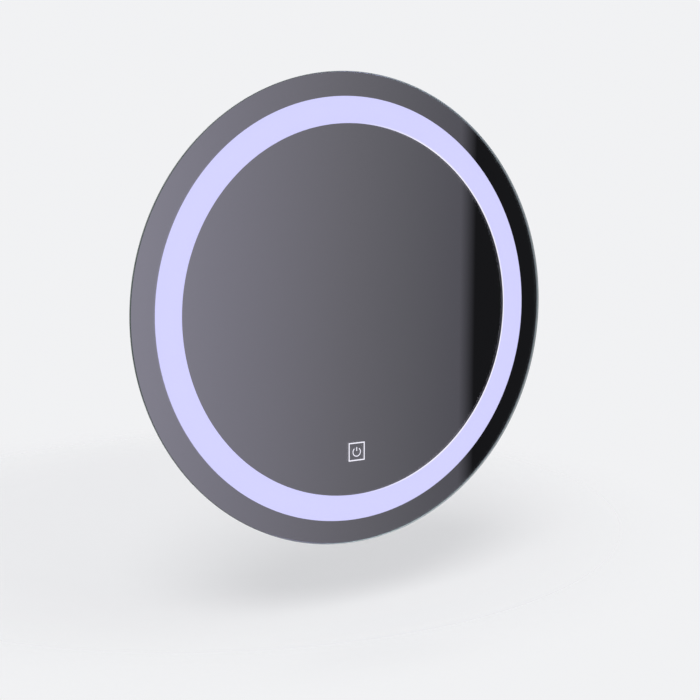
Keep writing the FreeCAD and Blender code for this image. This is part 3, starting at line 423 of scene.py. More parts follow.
@material
def circuit_board(paint):
    """Solder mask over straight copper tracks on a grid, with round tinned pads in some of its squares."""
    track_edge, pad_edge = (0.14, 0.20), (0.28, 0.34)       # in squares from the middle, full and gone
    upright_share, pad_share = 0.3, 0.12
    x, _, z = paint.from_axis()
    across, up = x * (1 / TRACK_GRID), z * (1 / TRACK_GRID)

    def chance(run):
        """A random number for each stretch of the grid, run squares long."""
        stretch = (across * (1 / run)).math("FLOOR")
        square = paint.node("ShaderNodeCombineXYZ", {}, [stretch, up.math("FLOOR")])
        return paint.node("ShaderNodeTexWhiteNoise", {"noise_dimensions": "2D"}, {"Vector": square})

    side, rise = across.math("FRACT") - 0.5, up.math("FRACT") - 0.5
    level = paint.spread(rise.math("ABSOLUTE"), 1.0, 0.0, *track_edge)
    upright = paint.spread(side.math("ABSOLUTE"), 1.0, 0.0, *track_edge)
    turned = chance(4).math("GREATER_THAN", 1 - upright_share)
    copper = level * (1 - turned) + upright * turned
    pads = paint.spread((side * side + rise * rise).math("SQRT"), 1.0, 0.0, *pad_edge)
    pads = pads * chance(1).math("GREATER_THAN", 1 - pad_share)
    mask = paint.blend(copper, (0.015, 0.11, 0.045), (0.04, 0.21, 0.09))
    paint.surface(base_color=paint.blend(pads, mask, (0.62, 0.63, 0.62)), metallic=pads * 0.9,
                  roughness=paint.spread(pads, 0.24, 0.36), normal=paint.bump(copper + pads, 0.04 * MM, 0.5))


@material
def insulation(paint, colour, stripe=None):
    """Drawn insulation, slightly waxy; stripe is the second colour of an earth wire."""
    streaks = paint.noise(160.0, None, 3.0)
    base = paint.blend(streaks, tuple(c * 0.85 for c in colour), colour)
    if stripe:
        winding_x, winding_y = 700.0, 900.0     # radians to the metre; a stripe comes round every 9 mm
        x, y, z = paint.from_axis()
        turn = ((x + z) * winding_x + y * winding_y).math("SINE")
        base = paint.blend(paint.spread(turn, 0.0, 1.0, 0.15, 0.25), base, stripe)
    paint.surface(base_color=base, roughness=paint.spread(streaks, 0.34, 0.5),
                  normal=paint.bump(streaks, 0.05 * MM, 0.3))


@material
def lamp_chip(paint):
    """Cool white lamp chip: yellow phosphor lit from inside."""
    speckle = paint.noise(4200.0, None, 2.0)
    paint.surface(base_color=paint.blend(speckle, (0.80, 0.70, 0.22), (0.95, 0.90, 0.45)), roughness=0.35,
                  emission_color=(0.80, 0.80, 1.0), emission_strength=1.0,
                  normal=paint.bump(speckle, 0.05 * MM, 0.4))


# ================================================================ mesh tools
def stand_for(piece, node):
    """piece is shown instead of a CAD node, which is hidden."""
    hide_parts(node)
    return piece


def settle(bm, name, materials, crease=CREASE):
    """Mesh object from bm: faces turned outwards, smooth except across edges sharper than crease degrees."""
    bmesh.ops.recalc_face_normals(bm, faces=bm.faces)
    mesh = bpy.data.meshes.new(name)
    bm.to_mesh(mesh)
    bm.free()
    for finish in materials:
        mesh.materials.append(finish)
    mesh.polygons.foreach_set("use_smooth", [True] * len(mesh.polygons))
    mesh.set_sharp_from_angle(angle=math.radians(crease))
    piece = bpy.data.objects.new(name, mesh)
    bpy.context.collection.objects.link(piece)
    return piece


def eased(section, radius):
    """A closed section with each corner replaced by a short round."""
    longest = 0.4                   # share of a side that a round may take
    points = []
    for before, corner, after in zip(section[-1:] + section[:-1], section, section[1:] + section[:1]):
        before, corner, after = Vector(before), Vector(corner), Vector(after)
        reach = min(radius, longest * (before - corner).length, longest * (after - corner).length)
        start = corner + (before - corner).normalized() * reach
        end = corner + (after - corner).normalized() * reach
        points += [tuple(start), tuple((start + 2 * corner + end) / 4), tuple(end)]
    return points


def turn_into(bm, section, axis=CENTRE, steps=TURN_STEPS, start=0.0, sweep=2 * math.pi, finishes=None,
              closed=True):
    """Turns (radius, y) points about the line along Y through axis. finishes gives each span's material.

    A closed section joins its last point to its first. An open one ends on the axis, or is filled later.
    """
    whole = sweep > 2 * math.pi - NOTHING
    count = steps if whole else steps + 1
    rings = []
    for radius, y in section:
        if radius < NOTHING:
            rings.append([bm.verts.new((axis.x, y, axis.z))] * count)
            continue
        ring = []
        for n in range(count):
            angle = start + sweep * n / steps
            place = (axis.x + radius * math.cos(angle), y, axis.z + radius * math.sin(angle))
            ring.append(bm.verts.new(place))
        rings.append(ring)
    following = rings[1:] + rings[:1] if closed else rings[1:]
    for span, (near, far) in enumerate(zip(rings, following)):
        for n in range(steps):
            m = (n + 1) % count
            corners = [near[n], near[m], far[m], far[n]]
            face = bm.faces.new([c for i, c in enumerate(corners) if c not in corners[:i]])
            face.material_index = finishes[span] if finishes else 0
    if not whole:
        bm.faces.new([ring[0] for ring in rings])
        bm.faces.new([ring[-1] for ring in rings])
    return rings


def loop(bm, points):
    """Vertices through the points of a closed outline."""
    return [bm.verts.new(point) for point in points]


def fill(bm, outlines, finish):
    """Flat face between an outline and the holes in it."""
    edges = []
    for outline in outlines:
        for a, b in zip(outline, outline[1:] + outline[:1]):
            edges.append(bm.edges.get((a, b)) or bm.edges.new((a, b)))
    for face in bmesh.ops.triangle_fill(bm, edges=edges, use_beauty=True)["geom"]:
        if isinstance(face, bmesh.types.BMFace):
            face.material_index = finish


def merged_copy(node):
    """The mesh of a CAD node, with its loose triangles joined."""
    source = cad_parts[node]
    bm = bmesh.new()
    bm.from_mesh(source.data)
    bm.transform(source.matrix_world)
    bmesh.ops.remove_doubles(bm, verts=bm.verts, dist=WELD)
    return bm


def softened(node, finish, ease, holes=()):
    """Copy of a CAD node with its corners eased. holes lists (middle, radius, depth, axis)."""
    bm = merged_copy(node)
    bmesh.ops.dissolve_limit(bm, angle_limit=math.radians(FLAT), verts=bm.verts, edges=bm.edges)
    piece = settle(bm, node + "_dressed", [finish], SOFT_CREASE)
    bevel = piece.modifiers.new("ease", "BEVEL")
    bevel.width = ease
    bevel.segments = 2
    bevel.limit_method = "ANGLE"
    bevel.angle_limit = math.radians(EASED_ANGLE)
    bevel.harden_normals = True
    piece = applied(piece)
    if holes:
        piece = drilled(piece, holes)
    return stand_for(piece, node)


def drilled(piece, holes):
    """The piece with round blind holes sunk from its faces."""
    bm = bmesh.new()
    for middle, radius, depth, axis in holes:
        aim = Vector(axis).to_track_quat("Z", "Y").to_matrix().to_4x4()
        bmesh.ops.create_cone(bm, cap_ends=True, segments=DRILL_STEPS, radius1=radius, radius2=radius,
                              depth=2 * depth, matrix=Matrix.Translation(middle) @ aim)
    return carved(piece, settle(bm, piece.name + "_drills", []))


def carved(piece, tool, own_overlaps=False):
    """The piece with the tool's shape cut out of it. own_overlaps is for a tool whose parts cross."""
    cut = piece.modifiers.new("cut", "BOOLEAN")
    cut.operation = "DIFFERENCE"
    cut.use_self = own_overlaps
    cut.object = tool
    piece = applied(piece)
    bpy.data.objects.remove(tool)
    return piece


def applied(piece):
    """The piece with its modifiers made plain mesh."""
    mesh = bpy.data.meshes.new_from_object(piece.evaluated_get(bpy.context.evaluated_depsgraph_get()))
    plain = bpy.data.objects.new(piece.name + "_plain", mesh)
    name = piece.name
    bpy.data.objects.remove(piece)
    plain.name = name
    bpy.context.collection.objects.link(plain)
    return plain


# ================================================================ repeated pieces
def repeating_tree():
    """Sets a copy of one piece at each point, turned about Y by the point's heading and a random amount."""
    tree = bpy.data.node_groups.new("repeat_piece", "GeometryNodeTree")
    face = tree.interface
    face.new_socket("Points", in_out="INPUT", socket_type="NodeSocketGeometry")
    for label, kind in (("Piece", "NodeSocketObject"), ("Turn", "NodeSocketFloat"), ("Seed", "NodeSocketInt"),
                        ("Finish", "NodeSocketMaterial")):
        face.new_socket(label, in_out="INPUT", socket_type=kind)
    face.new_socket("Copies", in_out="OUTPUT", socket_type="NodeSocketGeometry")
    nodes, links = tree.nodes, tree.links
    inputs = nodes.new("NodeGroupInput")
    outputs = nodes.new("NodeGroupOutput")
    piece = nodes.new("GeometryNodeObjectInfo")
    chance = nodes.new("FunctionNodeRandomValue")
    turn = nodes.new("ShaderNodeCombineXYZ")
    heading = nodes.new("GeometryNodeInputNamedAttribute")
    total = nodes.new("ShaderNodeMath")
    lay = nodes.new("GeometryNodeInstanceOnPoints")
    realise = nodes.new("GeometryNodeRealizeInstances")
    paint = nodes.new("GeometryNodeSetMaterial")
    chance.data_type = "FLOAT"
    heading.data_type = "FLOAT"
    heading.inputs["Name"].default_value = "heading"
    total.operation = "ADD"
    links.new(inputs.outputs["Piece"], piece.inputs["Object"])
    links.new(inputs.outputs["Turn"], chance.inputs[3])
    links.new(inputs.outputs["Seed"], chance.inputs["Seed"])
    links.new(chance.outputs[1], total.inputs[0])
    links.new(heading.outputs[0], total.inputs[1])
    links.new(total.outputs[0], turn.inputs["Y"])
    links.new(inputs.outputs["Points"], lay.inputs["Points"])
    links.new(piece.outputs["Geometry"], lay.inputs["Instance"])
    links.new(turn.outputs["Vector"], lay.inputs["Rotation"])
    links.new(lay.outputs["Instances"], realise.inputs["Geometry"])
    links.new(realise.outputs["Geometry"], paint.inputs["Geometry"])
    links.new(inputs.outputs["Finish"], paint.inputs["Material"])
    links.new(paint.outputs["Geometry"], outputs.inputs["Copies"])
    return tree


REPEAT = repeating_tree()


def repeated(name, pattern, points, finish, seed, turn=2 * math.pi, headings=None):
    """Copies of the pattern piece at the points, as one plain mesh."""
    bm = bmesh.new()
    for point in points:
        bm.verts.new(point)
    host = settle(bm, name, [])
    attribute = host.data.attributes.new("heading", "FLOAT", "POINT")
    attribute.data.foreach_set("value", headings or [0.0] * len(points))
    modifier = host.modifiers.new("repeat", "NODES")
    modifier.node_group = REPEAT
    values = {"Piece": pattern, "Turn": turn, "Seed": seed, "Finish": finish}
    for item in REPEAT.interface.items_tree:
        if item.name in values:
            modifier[item.identifier] = values[item.name]
    result = applied(host)
    result.data.set_sharp_from_angle(angle=math.radians(CREASE))
    return result


def turned_copies(name, section, points, finish, seed, closed):
    """A section turned about its own axis, and a copy of that set at each point."""
    bm = bmesh.new()
    turn_into(bm, section, ORIGIN, SMALL_STEPS, closed=closed)
    pattern = settle(bm, name + "_pattern", [])
    copies = repeated(name, pattern, points, finish, seed)
    bpy.data.objects.remove(pattern)
    return copies


def node_middles(node):
    """Middle, lowest and highest corner of each separate solid of a CAD node, from left to right."""
    bm = merged_copy(node)
    middles = []
    waiting = set(bm.verts)
    while waiting:
        group = {waiting.pop()}
        rim = list(group)
        while rim:
            vert = rim.pop()
            near = {edge.other_vert(vert) for edge in vert.link_edges} & waiting
            waiting -= near
            group |= near
            rim += near
        low = Vector(min(v.co[i] for v in group) for i in range(3))
        high = Vector(max(v.co[i] for v in group) for i in range(3))
        middles.append(((low + high) / 2, low, high))
    bm.free()
    return sorted(middles, key=lambda part: tuple(part[0]))


# ================================================================ the pieces
def glass_disc():
    """Clear disc whose back is silvered, except for the band and the symbol."""
    clear, edge, silver, band, symbol = range(5)
    back = GLASS_BACK - LAYER_GAP
    bm = bmesh.new()
    face_radius = MIRROR_RADIUS - ARRIS
    section = [(0, GLASS_FRONT), (face_radius, GLASS_FRONT), (MIRROR_RADIUS, GLASS_FRONT + ARRIS),
               (MIRROR_RADIUS, back - ARRIS), (face_radius, back), (BAND_OUTER, back), (BAND_INNER, back)]
    rings = turn_into(bm, section, finishes=[clear, edge, edge, edge, silver, band], closed=False)
    middle = CENTRE + Vector((0, back, -SYMBOL_DROP))

    def square(half):
        corners = ((-1, -1), (1, -1), (1, 1), (-1, 1))
        return loop(bm, [middle + Vector((x * half, 0, z * half)) for x, z in corners])

    outer = square(SYMBOL_FRAME / 2)
    inner = square(SYMBOL_FRAME / 2 - SYMBOL_FRAME_STROKE)
    hub = middle - Vector((0, 0, SYMBOL_SINK))
    half = SYMBOL_STROKE / 2
    sweep = [SYMBOL_GAP + (2 * math.pi - 2 * SYMBOL_GAP) * n / ARC_STEPS for n in range(ARC_STEPS + 1)]
    arc = [hub + Vector((math.sin(a), 0, math.cos(a))) * (SYMBOL_RADIUS + half) for a in sweep]
    arc += [hub + Vector((math.sin(a), 0, math.cos(a))) * (SYMBOL_RADIUS - half) for a in reversed(sweep)]
    circle = loop(bm, arc)
    bar = loop(bm, [hub + Vector(corner) for corner in
                    ((-half, 0, SYMBOL_BAR_FOOT), (half, 0, SYMBOL_BAR_FOOT),
                     (half, 0, SYMBOL_BAR_HEAD), (-half, 0, SYMBOL_BAR_HEAD))])
    fill(bm, [rings[-1], outer], silver)
    fill(bm, [outer, inner], symbol)
    fill(bm, [inner, circle, bar], silver)
    fill(bm, [circle], symbol)
    fill(bm, [bar], symbol)
    return settle(bm, "glass_disc", [glass_face(), glass_edge(), silvering(), etched_band(), etched_symbol()])


def hoop():
    """Rolled section with its butt joint at the foot."""
    low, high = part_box("frame_hoop")
    pan_low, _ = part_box("back_pan")
    front, rear, shelf = low[1], high[1], pan_low[1]
    outer = HOOP_INNER + HOOP_WALL
    section = [(HOOP_INNER, front), (FLANGE_OUTER, front), (FLANGE_OUTER, front + HOOP_WALL),
               (outer, front + HOOP_WALL), (outer, rear), (HOOP_INNER, rear), (HOOP_INNER, shelf),
               (LEDGE_INNER, shelf), (LEDGE_INNER, shelf - HOOP_WALL), (HOOP_INNER, shelf - HOOP_WALL)]
    gap = HOOP_JOINT / HOOP_INNER
    bm = bmesh.new()
    turn_into(bm, eased(section, HOOP_EASE), start=-math.pi / 2 + gap / 2, sweep=2 * math.pi - gap)
    return settle(bm, "hoop", [drawn_aluminium()])


def edge_bead():
    """Tooled bead in the corner between the hoop's flange and the film, a little uneven."""
    hollowness = 1.7
    ripple, still_foot = 0.06 * MM, 0.2 * MM
    slow_waves, quick_waves, shift = 23, 57, 1.3
    low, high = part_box("silicone_bead")
    inner = (high[0] - low[0]) / 2 - BEAD_WIDTH
    height = high[1] - low[1]
    hollow = [(inner + BEAD_WIDTH * t, low[1] + height * (1 - t) ** hollowness)
              for t in (0, 0.2, 0.4, 0.6, 0.8)]
    section = [(inner, low[1]), (inner + BEAD_WIDTH, low[1])] + hollow[::-1]
    bm = bmesh.new()
    rings = turn_into(bm, section)
    for ring in rings[2:]:
        for n, vert in enumerate(ring):
            angle = 2 * math.pi * n / TURN_STEPS
            if vert.co.y > low[1] + still_foot:
                vert.co.y += ripple * (math.sin(slow_waves * angle) + math.sin(quick_waves * angle + shift))
    return settle(bm, "edge_bead", [silicone()])


def bumper_feet():
    """Rubber feet with a rounded rim and a well for the screw."""
    well, seat, bore = 4.2 * MM, 3.0 * MM, 1.9 * MM
    parts = node_middles("rubber_bumpers")
    _, low, high = parts[0]
    radius, tall = (high.x - low.x) / 2, high.y - low.y
    section = [(bore, 0), (radius * 0.96, 0), (radius, 0.5 * MM), (radius * 0.985, tall - 2.0 * MM),
               (radius * 0.95, tall - 0.7 * MM), (radius * 0.87, tall), (well + 1.2 * MM, tall),
               (well + 0.3 * MM, tall - 0.3 * MM), (well, tall - 1.0 * MM), (well, seat), (bore, seat)]
    points = [Vector((middle.x, low.y, middle.z)) for middle, _, _ in parts]
    return turned_copies("bumper_feet", section, points, black_rubber(), 3, closed=True)


def entry_grommet():
    """Rubber ring in the lid, with softly rounded lips."""
    bore, neck, steps, crease = 3.8 * MM, 6.5 * MM, 64, 50
    middle, low, high = node_middles("cable_grommet")[0]
    lip, outer, inner = (high.x - low.x) / 2, high.y, low.y
    lid_low, lid_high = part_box("terminal_box_lid")
    groove_front, groove_rear = lid_low[1] - LAYER_GAP, lid_high[1] + LAYER_GAP
    section = [(bore, inner + 0.5 * MM), (bore + 0.5 * MM, inner), (lip - 0.9 * MM, inner),
               (lip, inner + 0.8 * MM), (lip, groove_front), (neck, groove_front), (neck, groove_rear),
               (lip, groove_rear), (lip, outer - 0.9 * MM), (lip - 0.35 * MM, outer - 0.3 * MM),
               (lip - 1.1 * MM, outer), (bore + 0.7 * MM, outer), (bore, outer - 0.6 * MM)]
    bm = bmesh.new()
    turn_into(bm, section, Vector((middle.x, 0, middle.z)), steps)
    return settle(bm, "entry_grommet", [black_rubber()], crease)


HEAD_RADIUS, HEAD_HEIGHT, SCREW_POINT = 3.4 * MM, 2.2 * MM, 2.5 * MM
BLADE_TOP, BLADE_FOOT = (1.5, 0.42), (0.7, 0.2)     # socket blade's width and thickness, in head radii
BLADE_TALL, BLADE_RISE = 1.3, 0.95                  # its height and where its middle is, in head heights
SCREWS = (                                          # shank radius, length, and the nodes that it stands for
    ("long_screw", 1.5 * MM, 10.0 * MM, ("pan_screws", "lid_screws", "bumper_screws")),
    ("short_screw", 1.5 * MM, 7.0 * MM, ("clamp_screws",)),
    ("earth_pattern", 2.0 * MM, 11.0 * MM, ("earth_screw",)))
FIRST_SCREW_SEED = 11


def cross_head(name, shank_radius, length):
    """Pan-head screw with a tapered cross socket, its seat at the origin and its head towards +Y."""
    radius, height = HEAD_RADIUS, HEAD_HEIGHT
    section = [(0, height), (radius * 0.45, height), (radius * 0.72, height * 0.90),
               (radius * 0.92, height * 0.62), (radius, height * 0.25), (radius * 0.985, 0),
               (shank_radius, 0), (shank_radius, -length + SCREW_POINT), (shank_radius * 0.2, -length),
               (0, -length)]
    bm = bmesh.new()
    turn_into(bm, section, ORIGIN, SMALL_STEPS, closed=False)
    body = settle(bm, name, [])
    bm = bmesh.new()
    for angle in (0, math.pi / 2):
        blade = bmesh.ops.create_cube(bm, size=1.0)["verts"]
        for vert in blade:
            wide, thick = BLADE_FOOT if vert.co.y < 0 else BLADE_TOP
            x, y, z = vert.co
            vert.co = (x * radius * wide, y * height * BLADE_TALL + height * BLADE_RISE, z * radius * thick)
        bmesh.ops.rotate(bm, verts=blade, cent=(0, 0, 0), matrix=Matrix.Rotation(angle, 3, "Y"))
    return carved(body, settle(bm, name + "_socket", []), own_overlaps=True)


def rail_rivets():
    """Blind rivets, each with its dome towards +Y and the pin's stub in a dimple."""
    radius, height, shank, grip = 3.9 * MM, 1.2 * MM, 2.0 * MM, 2.5 * MM
    section = [(0, height * 0.82), (shank * 0.42, height * 0.82), (shank * 0.50, height * 0.62),
               (shank * 0.66, height * 0.95), (radius * 0.62, height), (radius * 0.88, height * 0.66),
               (radius, height * 0.2), (radius, 0), (shank, 0), (shank, -grip), (shank * 1.5, -grip),
               (shank * 1.4, -grip - height), (0, -grip - height * 1.3)]
    points = [Vector((middle.x, high.y - height, middle.z))
              for middle, _, high in node_middles("rail_rivets")]
    return turned_copies("rail_rivets_set", section, points, plain_aluminium(), 5, closed=False)


def screws():
    """The mirror unit's cross-head screws, set where their solids are, each turned its own way."""
    made = []
    for name, shank_radius, length, nodes in SCREWS:
        pattern = cross_head(name, shank_radius, length)
        for node in nodes:
            points = [Vector((middle.x, high.y - HEAD_HEIGHT, middle.z))
                      for middle, _, high in node_middles(node)]
            piece = repeated(node + "_cut", pattern, points, bright_zinc(), FIRST_SCREW_SEED + len(made))
            made.append(stand_for(piece, node))
        bpy.data.objects.remove(pattern)
    return made


def lamp_chips():
    """Chips on the strip, facing inwards, and behind the symbol: a white housing with a phosphor window."""
    housing = moulded("chip_housing", colour=(0.82, 0.82, 0.80), grain=3000.0, gloss=0.35)
    made = []
    for node, inward in (("led_chips", True), ("touch_backlights", False)):
        parts = node_middles(node)
        _, low, high = min(parts, key=lambda part: abs(part[0].x)) if inward else parts[0]
        headings = [math.pi / 2 - math.atan2(middle.z - CENTRE.z, middle.x) if inward else 0.0
                    for middle, _, _ in parts]
        facing = Matrix.Identity(3) if inward else Matrix.Rotation(-math.pi / 2, 3, "X")
        size = Vector(abs(side) for side in facing.transposed() @ (high - low))
        shell, window = chip_patterns(node, size, facing)
        points = [middle for middle, _, _ in parts]
        for name, pattern, finish, seed in (("_housings", shell, housing, 21),
                                            ("_windows", window, lamp_chip(), 22)):
            made.append(stand_for(repeated(node + name, pattern, points, finish, seed, 0.0, headings), node))
            bpy.data.objects.remove(pattern)
    return made


def chip_patterns(name, size, facing):
    """One chip about the origin: its housing, open towards -Z until facing turns it, and the window in it."""
    wall, well = 0.12 * min(size.x, size.y), 0.3 * size.z
    play, window_tall, window_sink, lens_rise = 0.1 * wall, 0.7 * well, 0.62 * well, 0.15 * well

    def dished(bm, depth, rise):
        """Insets the face that looks along -Z by a wall and moves it, then turns the whole by facing."""
        front = min(bm.faces, key=lambda face: face.calc_center_median().z)
        bmesh.ops.inset_region(bm, faces=[front], thickness=wall, depth=depth)
        bmesh.ops.translate(bm, verts=front.verts, vec=(0, 0, rise))
        bm.transform(facing.to_4x4())

    bm = bmesh.new()
    bmesh.ops.create_cube(bm, size=1.0, matrix=Matrix.Diagonal((*size, 1)))
    dished(bm, 0.0, well)
    shell = settle(bm, name + "_shell", [])
    inside = (size.x - 2 * wall - play, size.y - 2 * wall - play, window_tall)
    bm = bmesh.new()
    bmesh.ops.create_cube(bm, size=1.0, matrix=Matrix.Translation((0, 0, -size.z / 2 + window_sink))
                          @ Matrix.Diagonal((*inside, 1)))
    dished(bm, lens_rise, 0.0)
    return shell, settle(bm, name + "_window", [])


def smoothing_cans():
    """Capacitors of the driver: sleeved cans with a crimped groove near the board and a sunk top."""
    groove, groove_half, rim_round, sink = 1.5 * MM, 0.4 * MM, 0.1 * MM, 0.3 * MM
    parts = node_middles("driver_capacitors")
    _, low, high = parts[0]
    radius, tall = (high.x - low.x) / 2, high.y - low.y
    section = [(0, 0), (radius * 0.93, 0), (radius, -0.3 * MM), (radius, groove_half - groove),
               (radius * 0.9, -groove), (radius, -groove_half - groove), (radius, 4 * rim_round - tall),
               (radius * 0.96, rim_round - tall), (radius * 0.88, -tall), (radius * 0.80, -tall),
               (radius * 0.77, sink - tall), (0, sink - tall)]
    points = [Vector((middle.x, high.y, middle.z)) for middle, _, high in parts]
    sleeve = moulded("capacitor_sleeve", colour=(0.02, 0.02, 0.03), grain=200.0, gloss=0.25)
    return turned_copies("smoothing_cans", section, points, sleeve, 8, closed=False)


def terminal_holes():
    """Two screw wells and two wire mouths in each of the driver's terminals."""
    well_spread, well_radius, well_depth = 2.5 * MM, 1.75 * MM, 1.6 * MM
    mouth_radius, mouth_depth = 1.5 * MM, 1.2 * MM
    live, neutral = (node_middles(node)[0] for node in ("live_lead", "neutral_lead"))
    lead_y = (live[1].y + live[2].y) / 2
    mouth_spread = abs(live[2].z - neutral[2].z) / 2
    holes = []
    for middle, low, high in node_middles("driver_terminals"):
        mouth_x = high.x if middle.x > 0 else low.x
        for side in (-1, 1):
            well = Vector((middle.x, low.y, middle.z + side * well_spread))
            mouth = Vector((mouth_x, lead_y, middle.z + side * mouth_spread))
            holes += [(well, well_radius, well_depth, (0, 1, 0)),
                      (mouth, mouth_radius, mouth_depth, (1, 0, 0))]
    return holes


def dress_node(node, finish):
    """Gives a CAD node's own object a finish."""
    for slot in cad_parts[node].material_slots:
        slot.material = finish


# ================================================================ put together
def build_mirror():
    unit = []
    for piece, node in (
            (glass_disc(), "mirror_glass"), (hoop(), "frame_hoop"), (edge_bead(), "silicone_bead"),
            (bumper_feet(), "rubber_bumpers"), (entry_grommet(), "cable_grommet"),
            (smoothing_cans(), "driver_capacitors")):
        unit.append(stand_for(piece, node))
    unit += screws()
    unit.append(stand_for(rail_rivets(), "rail_rivets"))
    unit += lamp_chips()
    grey = moulded("grey_box_plastic", colour=GREY, grain=1100.0, gloss=0.46, depth=0.07)
    white = moulded("white_case_plastic", colour=WHITE, grain=1000.0, gloss=0.42)
    cream = moulded("cream_nylon", colour=CREAM, grain=700.0, gloss=0.38)
    ferrite = moulded("ferrite", colour=(0.045, 0.045, 0.05), grain=1500.0, gloss=0.6)
    winding = moulded("winding_tape", colour=(0.72, 0.50, 0.05), grain=300.0, gloss=0.35)
    green = moulded("green_terminal", colour=(0.03, 0.19, 0.06), grain=900.0, gloss=0.4)
    resin = moulded("chip_resin", colour=(0.02, 0.02, 0.021), grain=1800.0, gloss=0.5)
    for node, finish, ease in (         # ease in mm
            ("back_pan", galvanised_sheet(), 0.15), ("mirror_rail", zinc_rail(), 0.2),
            ("terminal_box", grey, 0.3), ("terminal_box_lid", box_lid(), 0.35),
            ("splice_plate", drawn_aluminium(), 0.15), ("splice_rivets", plain_aluminium(), 0.2),
            ("terminal_block", cream, 0.2), ("cord_clamp", cream, 0.3),
            ("terminal_inserts", turned_brass(), 0.1), ("terminal_screws", bright_zinc(), 0.1),
            ("driver_base", white, 0.3), ("driver_lid", white, 0.3), ("driver_board", circuit_board(), 0.12),
            ("driver_transformer", ferrite, 0.4), ("driver_winding", winding, 1.0),
            ("touch_case", white, 0.3), ("touch_board", circuit_board(), 0.12),
            ("touch_sensor_chip", resin, 0.15), ("touch_sockets", cream, 0.3), ("lead_clips", white, 0.3),
            ("earth_nut", bright_zinc(), 0.2), ("earth_tag", bright_zinc(), 0.1)):
        unit.append(softened(node, finish, ease * MM))
    unit.append(softened("driver_terminals", green, 0.35 * MM, holes=terminal_holes()))
    for piece in unit:
        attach(piece, "mirror_unit")
    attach(softened("wall_rail", zinc_rail(), 0.2 * MM), "wall_side")

    red = insulation("red_insulation", colour=(0.45, 0.012, 0.01))
    black = insulation("black_insulation", colour=(0.018, 0.018, 0.018))
    earth = insulation("earth_insulation", colour=(0.05, 0.28, 0.04), stripe=(0.72, 0.62, 0.02))
    for node, finish in (
            ("silver_coating", silvering()), ("safety_film", backing_film()), ("diffuser_ring", opal()),
            ("icon_pad", opal()), ("glass_tape", foam_tape()), ("touch_tape", foam_tape()),
            ("led_strip", moulded("strip_board_white", colour=(0.84, 0.84, 0.82), grain=2000.0, gloss=0.35)),
            ("driver_screws", bright_zinc()),
            ("live_lead", insulation("brown_insulation", colour=(0.13, 0.045, 0.02))),
            ("neutral_lead", insulation("blue_insulation", colour=(0.02, 0.09, 0.42))),
            ("earth_lead", earth),
            ("feed_lead_positive", red), ("feed_lead_negative", black),
            ("strip_lead_positive", red), ("strip_lead_negative", black)):
        dress_node(node, finish)


# ================================================================ stage, light and camera
FLOOR_DROP = 0.10                   # below the lowest point of the glass
FLOOR_RADIUS = 0.85
FLOOR_MIDDLE = (0.10, 0.56)
FLOOR_STEPS = 96
FADE_START, FADE_END = 0.5, 0.98    # shares of the floor's radius

BACKGROUND = (0.88, 0.885, 0.90)
EVEN_LIGHT = ((0.97, 0.98, 1.0), 0.50)

# What the mirror shows, by degrees to the right of straight in front: its tones, and a dark part among them.
FRONT_TONES = (
    (-180, (0.80, 0.80, 0.82)), (-90, (0.55, 0.55, 0.57)), (-55, (0.24, 0.235, 0.26)),
    (-15, (0.33, 0.325, 0.375)), (19.3, (0.245, 0.235, 0.289)), (24.1, (0.198, 0.190, 0.231)),
    (30.5, (0.1435, 0.1380, 0.1605)), (34.0, (0.1140, 0.1110, 0.1285)), (37.0, (0.0885, 0.0855, 0.1025)),
    (60, (0.0885, 0.0855, 0.1025)), (85, (0.45, 0.45, 0.46)), (180, (0.80, 0.80, 0.82)))
DARK_EDGE, DARK_FADE, DARK_TONE = (36.68, 37.50), (52, 80), (0.0092, 0.0092, 0.0105)
FRONT_LIFT = (0.91, 1.09)           # share of those tones, from below to above

# What the metal behind the mirror shows: grey by height, from -1 to 1, and one bright panel.
BACK_HEIGHTS = ((-1, 0.38), (-0.15, 0.44), (0.05, 0.58), (0.45, 0.82), (1, 0.92))
BACK_FADE = 0.2
PANEL = Vector((0.45, 0.70, 0.55)).normalized()
PANEL_EDGE, PANEL_TONE = (0.84, 0.97), (1.22, 1.22, 1.21)

LIGHTS = (                          # degrees right of straight in front, degrees up, strength, degrees wide
    ("key", -35, 50, 0.8, 30), ("side", 75, 25, 0.4, 40), ("back", 150, 34, 1.5, 20))

FOCAL_PIXELS, IMAGE_WIDTH, SENSOR = 1056.0, 700, 36.0
CAMERA_TURN, CAMERA_TILT = math.radians(-30.749), math.radians(-6.612)
CAMERA_PLACE = (-0.6941, -1.1473, 0.1075)           # from the middle of the glass's front


@material
def floor_finish(paint):
    """Pale matt floor that fades out with distance and can't be seen from below."""
    where = paint.node("ShaderNodeTexCoord", output="Object")
    split = paint.node("ShaderNodeSeparateXYZ", {}, [where])
    x, y = split - FLOOR_MIDDLE[0], split.part("Y") - FLOOR_MIDDLE[1]
    far = (x * x + y * y).math("SQRT")
    shader = paint.node("ShaderNodeBsdfPrincipled", {}, {"Base Color": (0.84, 0.84, 0.85), "Roughness": 0.85})
    clear = paint.node("ShaderNodeBsdfTransparent")
    fade = paint.node("ShaderNodeMapRange", {"interpolation_type": "SMOOTHSTEP"},
                      [far, FLOOR_RADIUS * FADE_START, FLOOR_RADIUS * FADE_END, 0.0, 1.0])
    fade = fade.math("MAXIMUM", paint.node("ShaderNodeNewGeometry", output="Backfacing"))
    paint.finish(paint.node("ShaderNodeMixShader", {}, [fade, shader, clear]))


def floor():
    """Round floor under the mirror."""
    bm = bmesh.new()
    level = CENTRE.z - MIRROR_RADIUS - FLOOR_DROP
    bmesh.ops.create_circle(bm, cap_ends=True, segments=FLOOR_STEPS, radius=FLOOR_RADIUS,
                            matrix=Matrix.Translation((*FLOOR_MIDDLE, level)))
    ground = settle(bm, "floor", [floor_finish()])


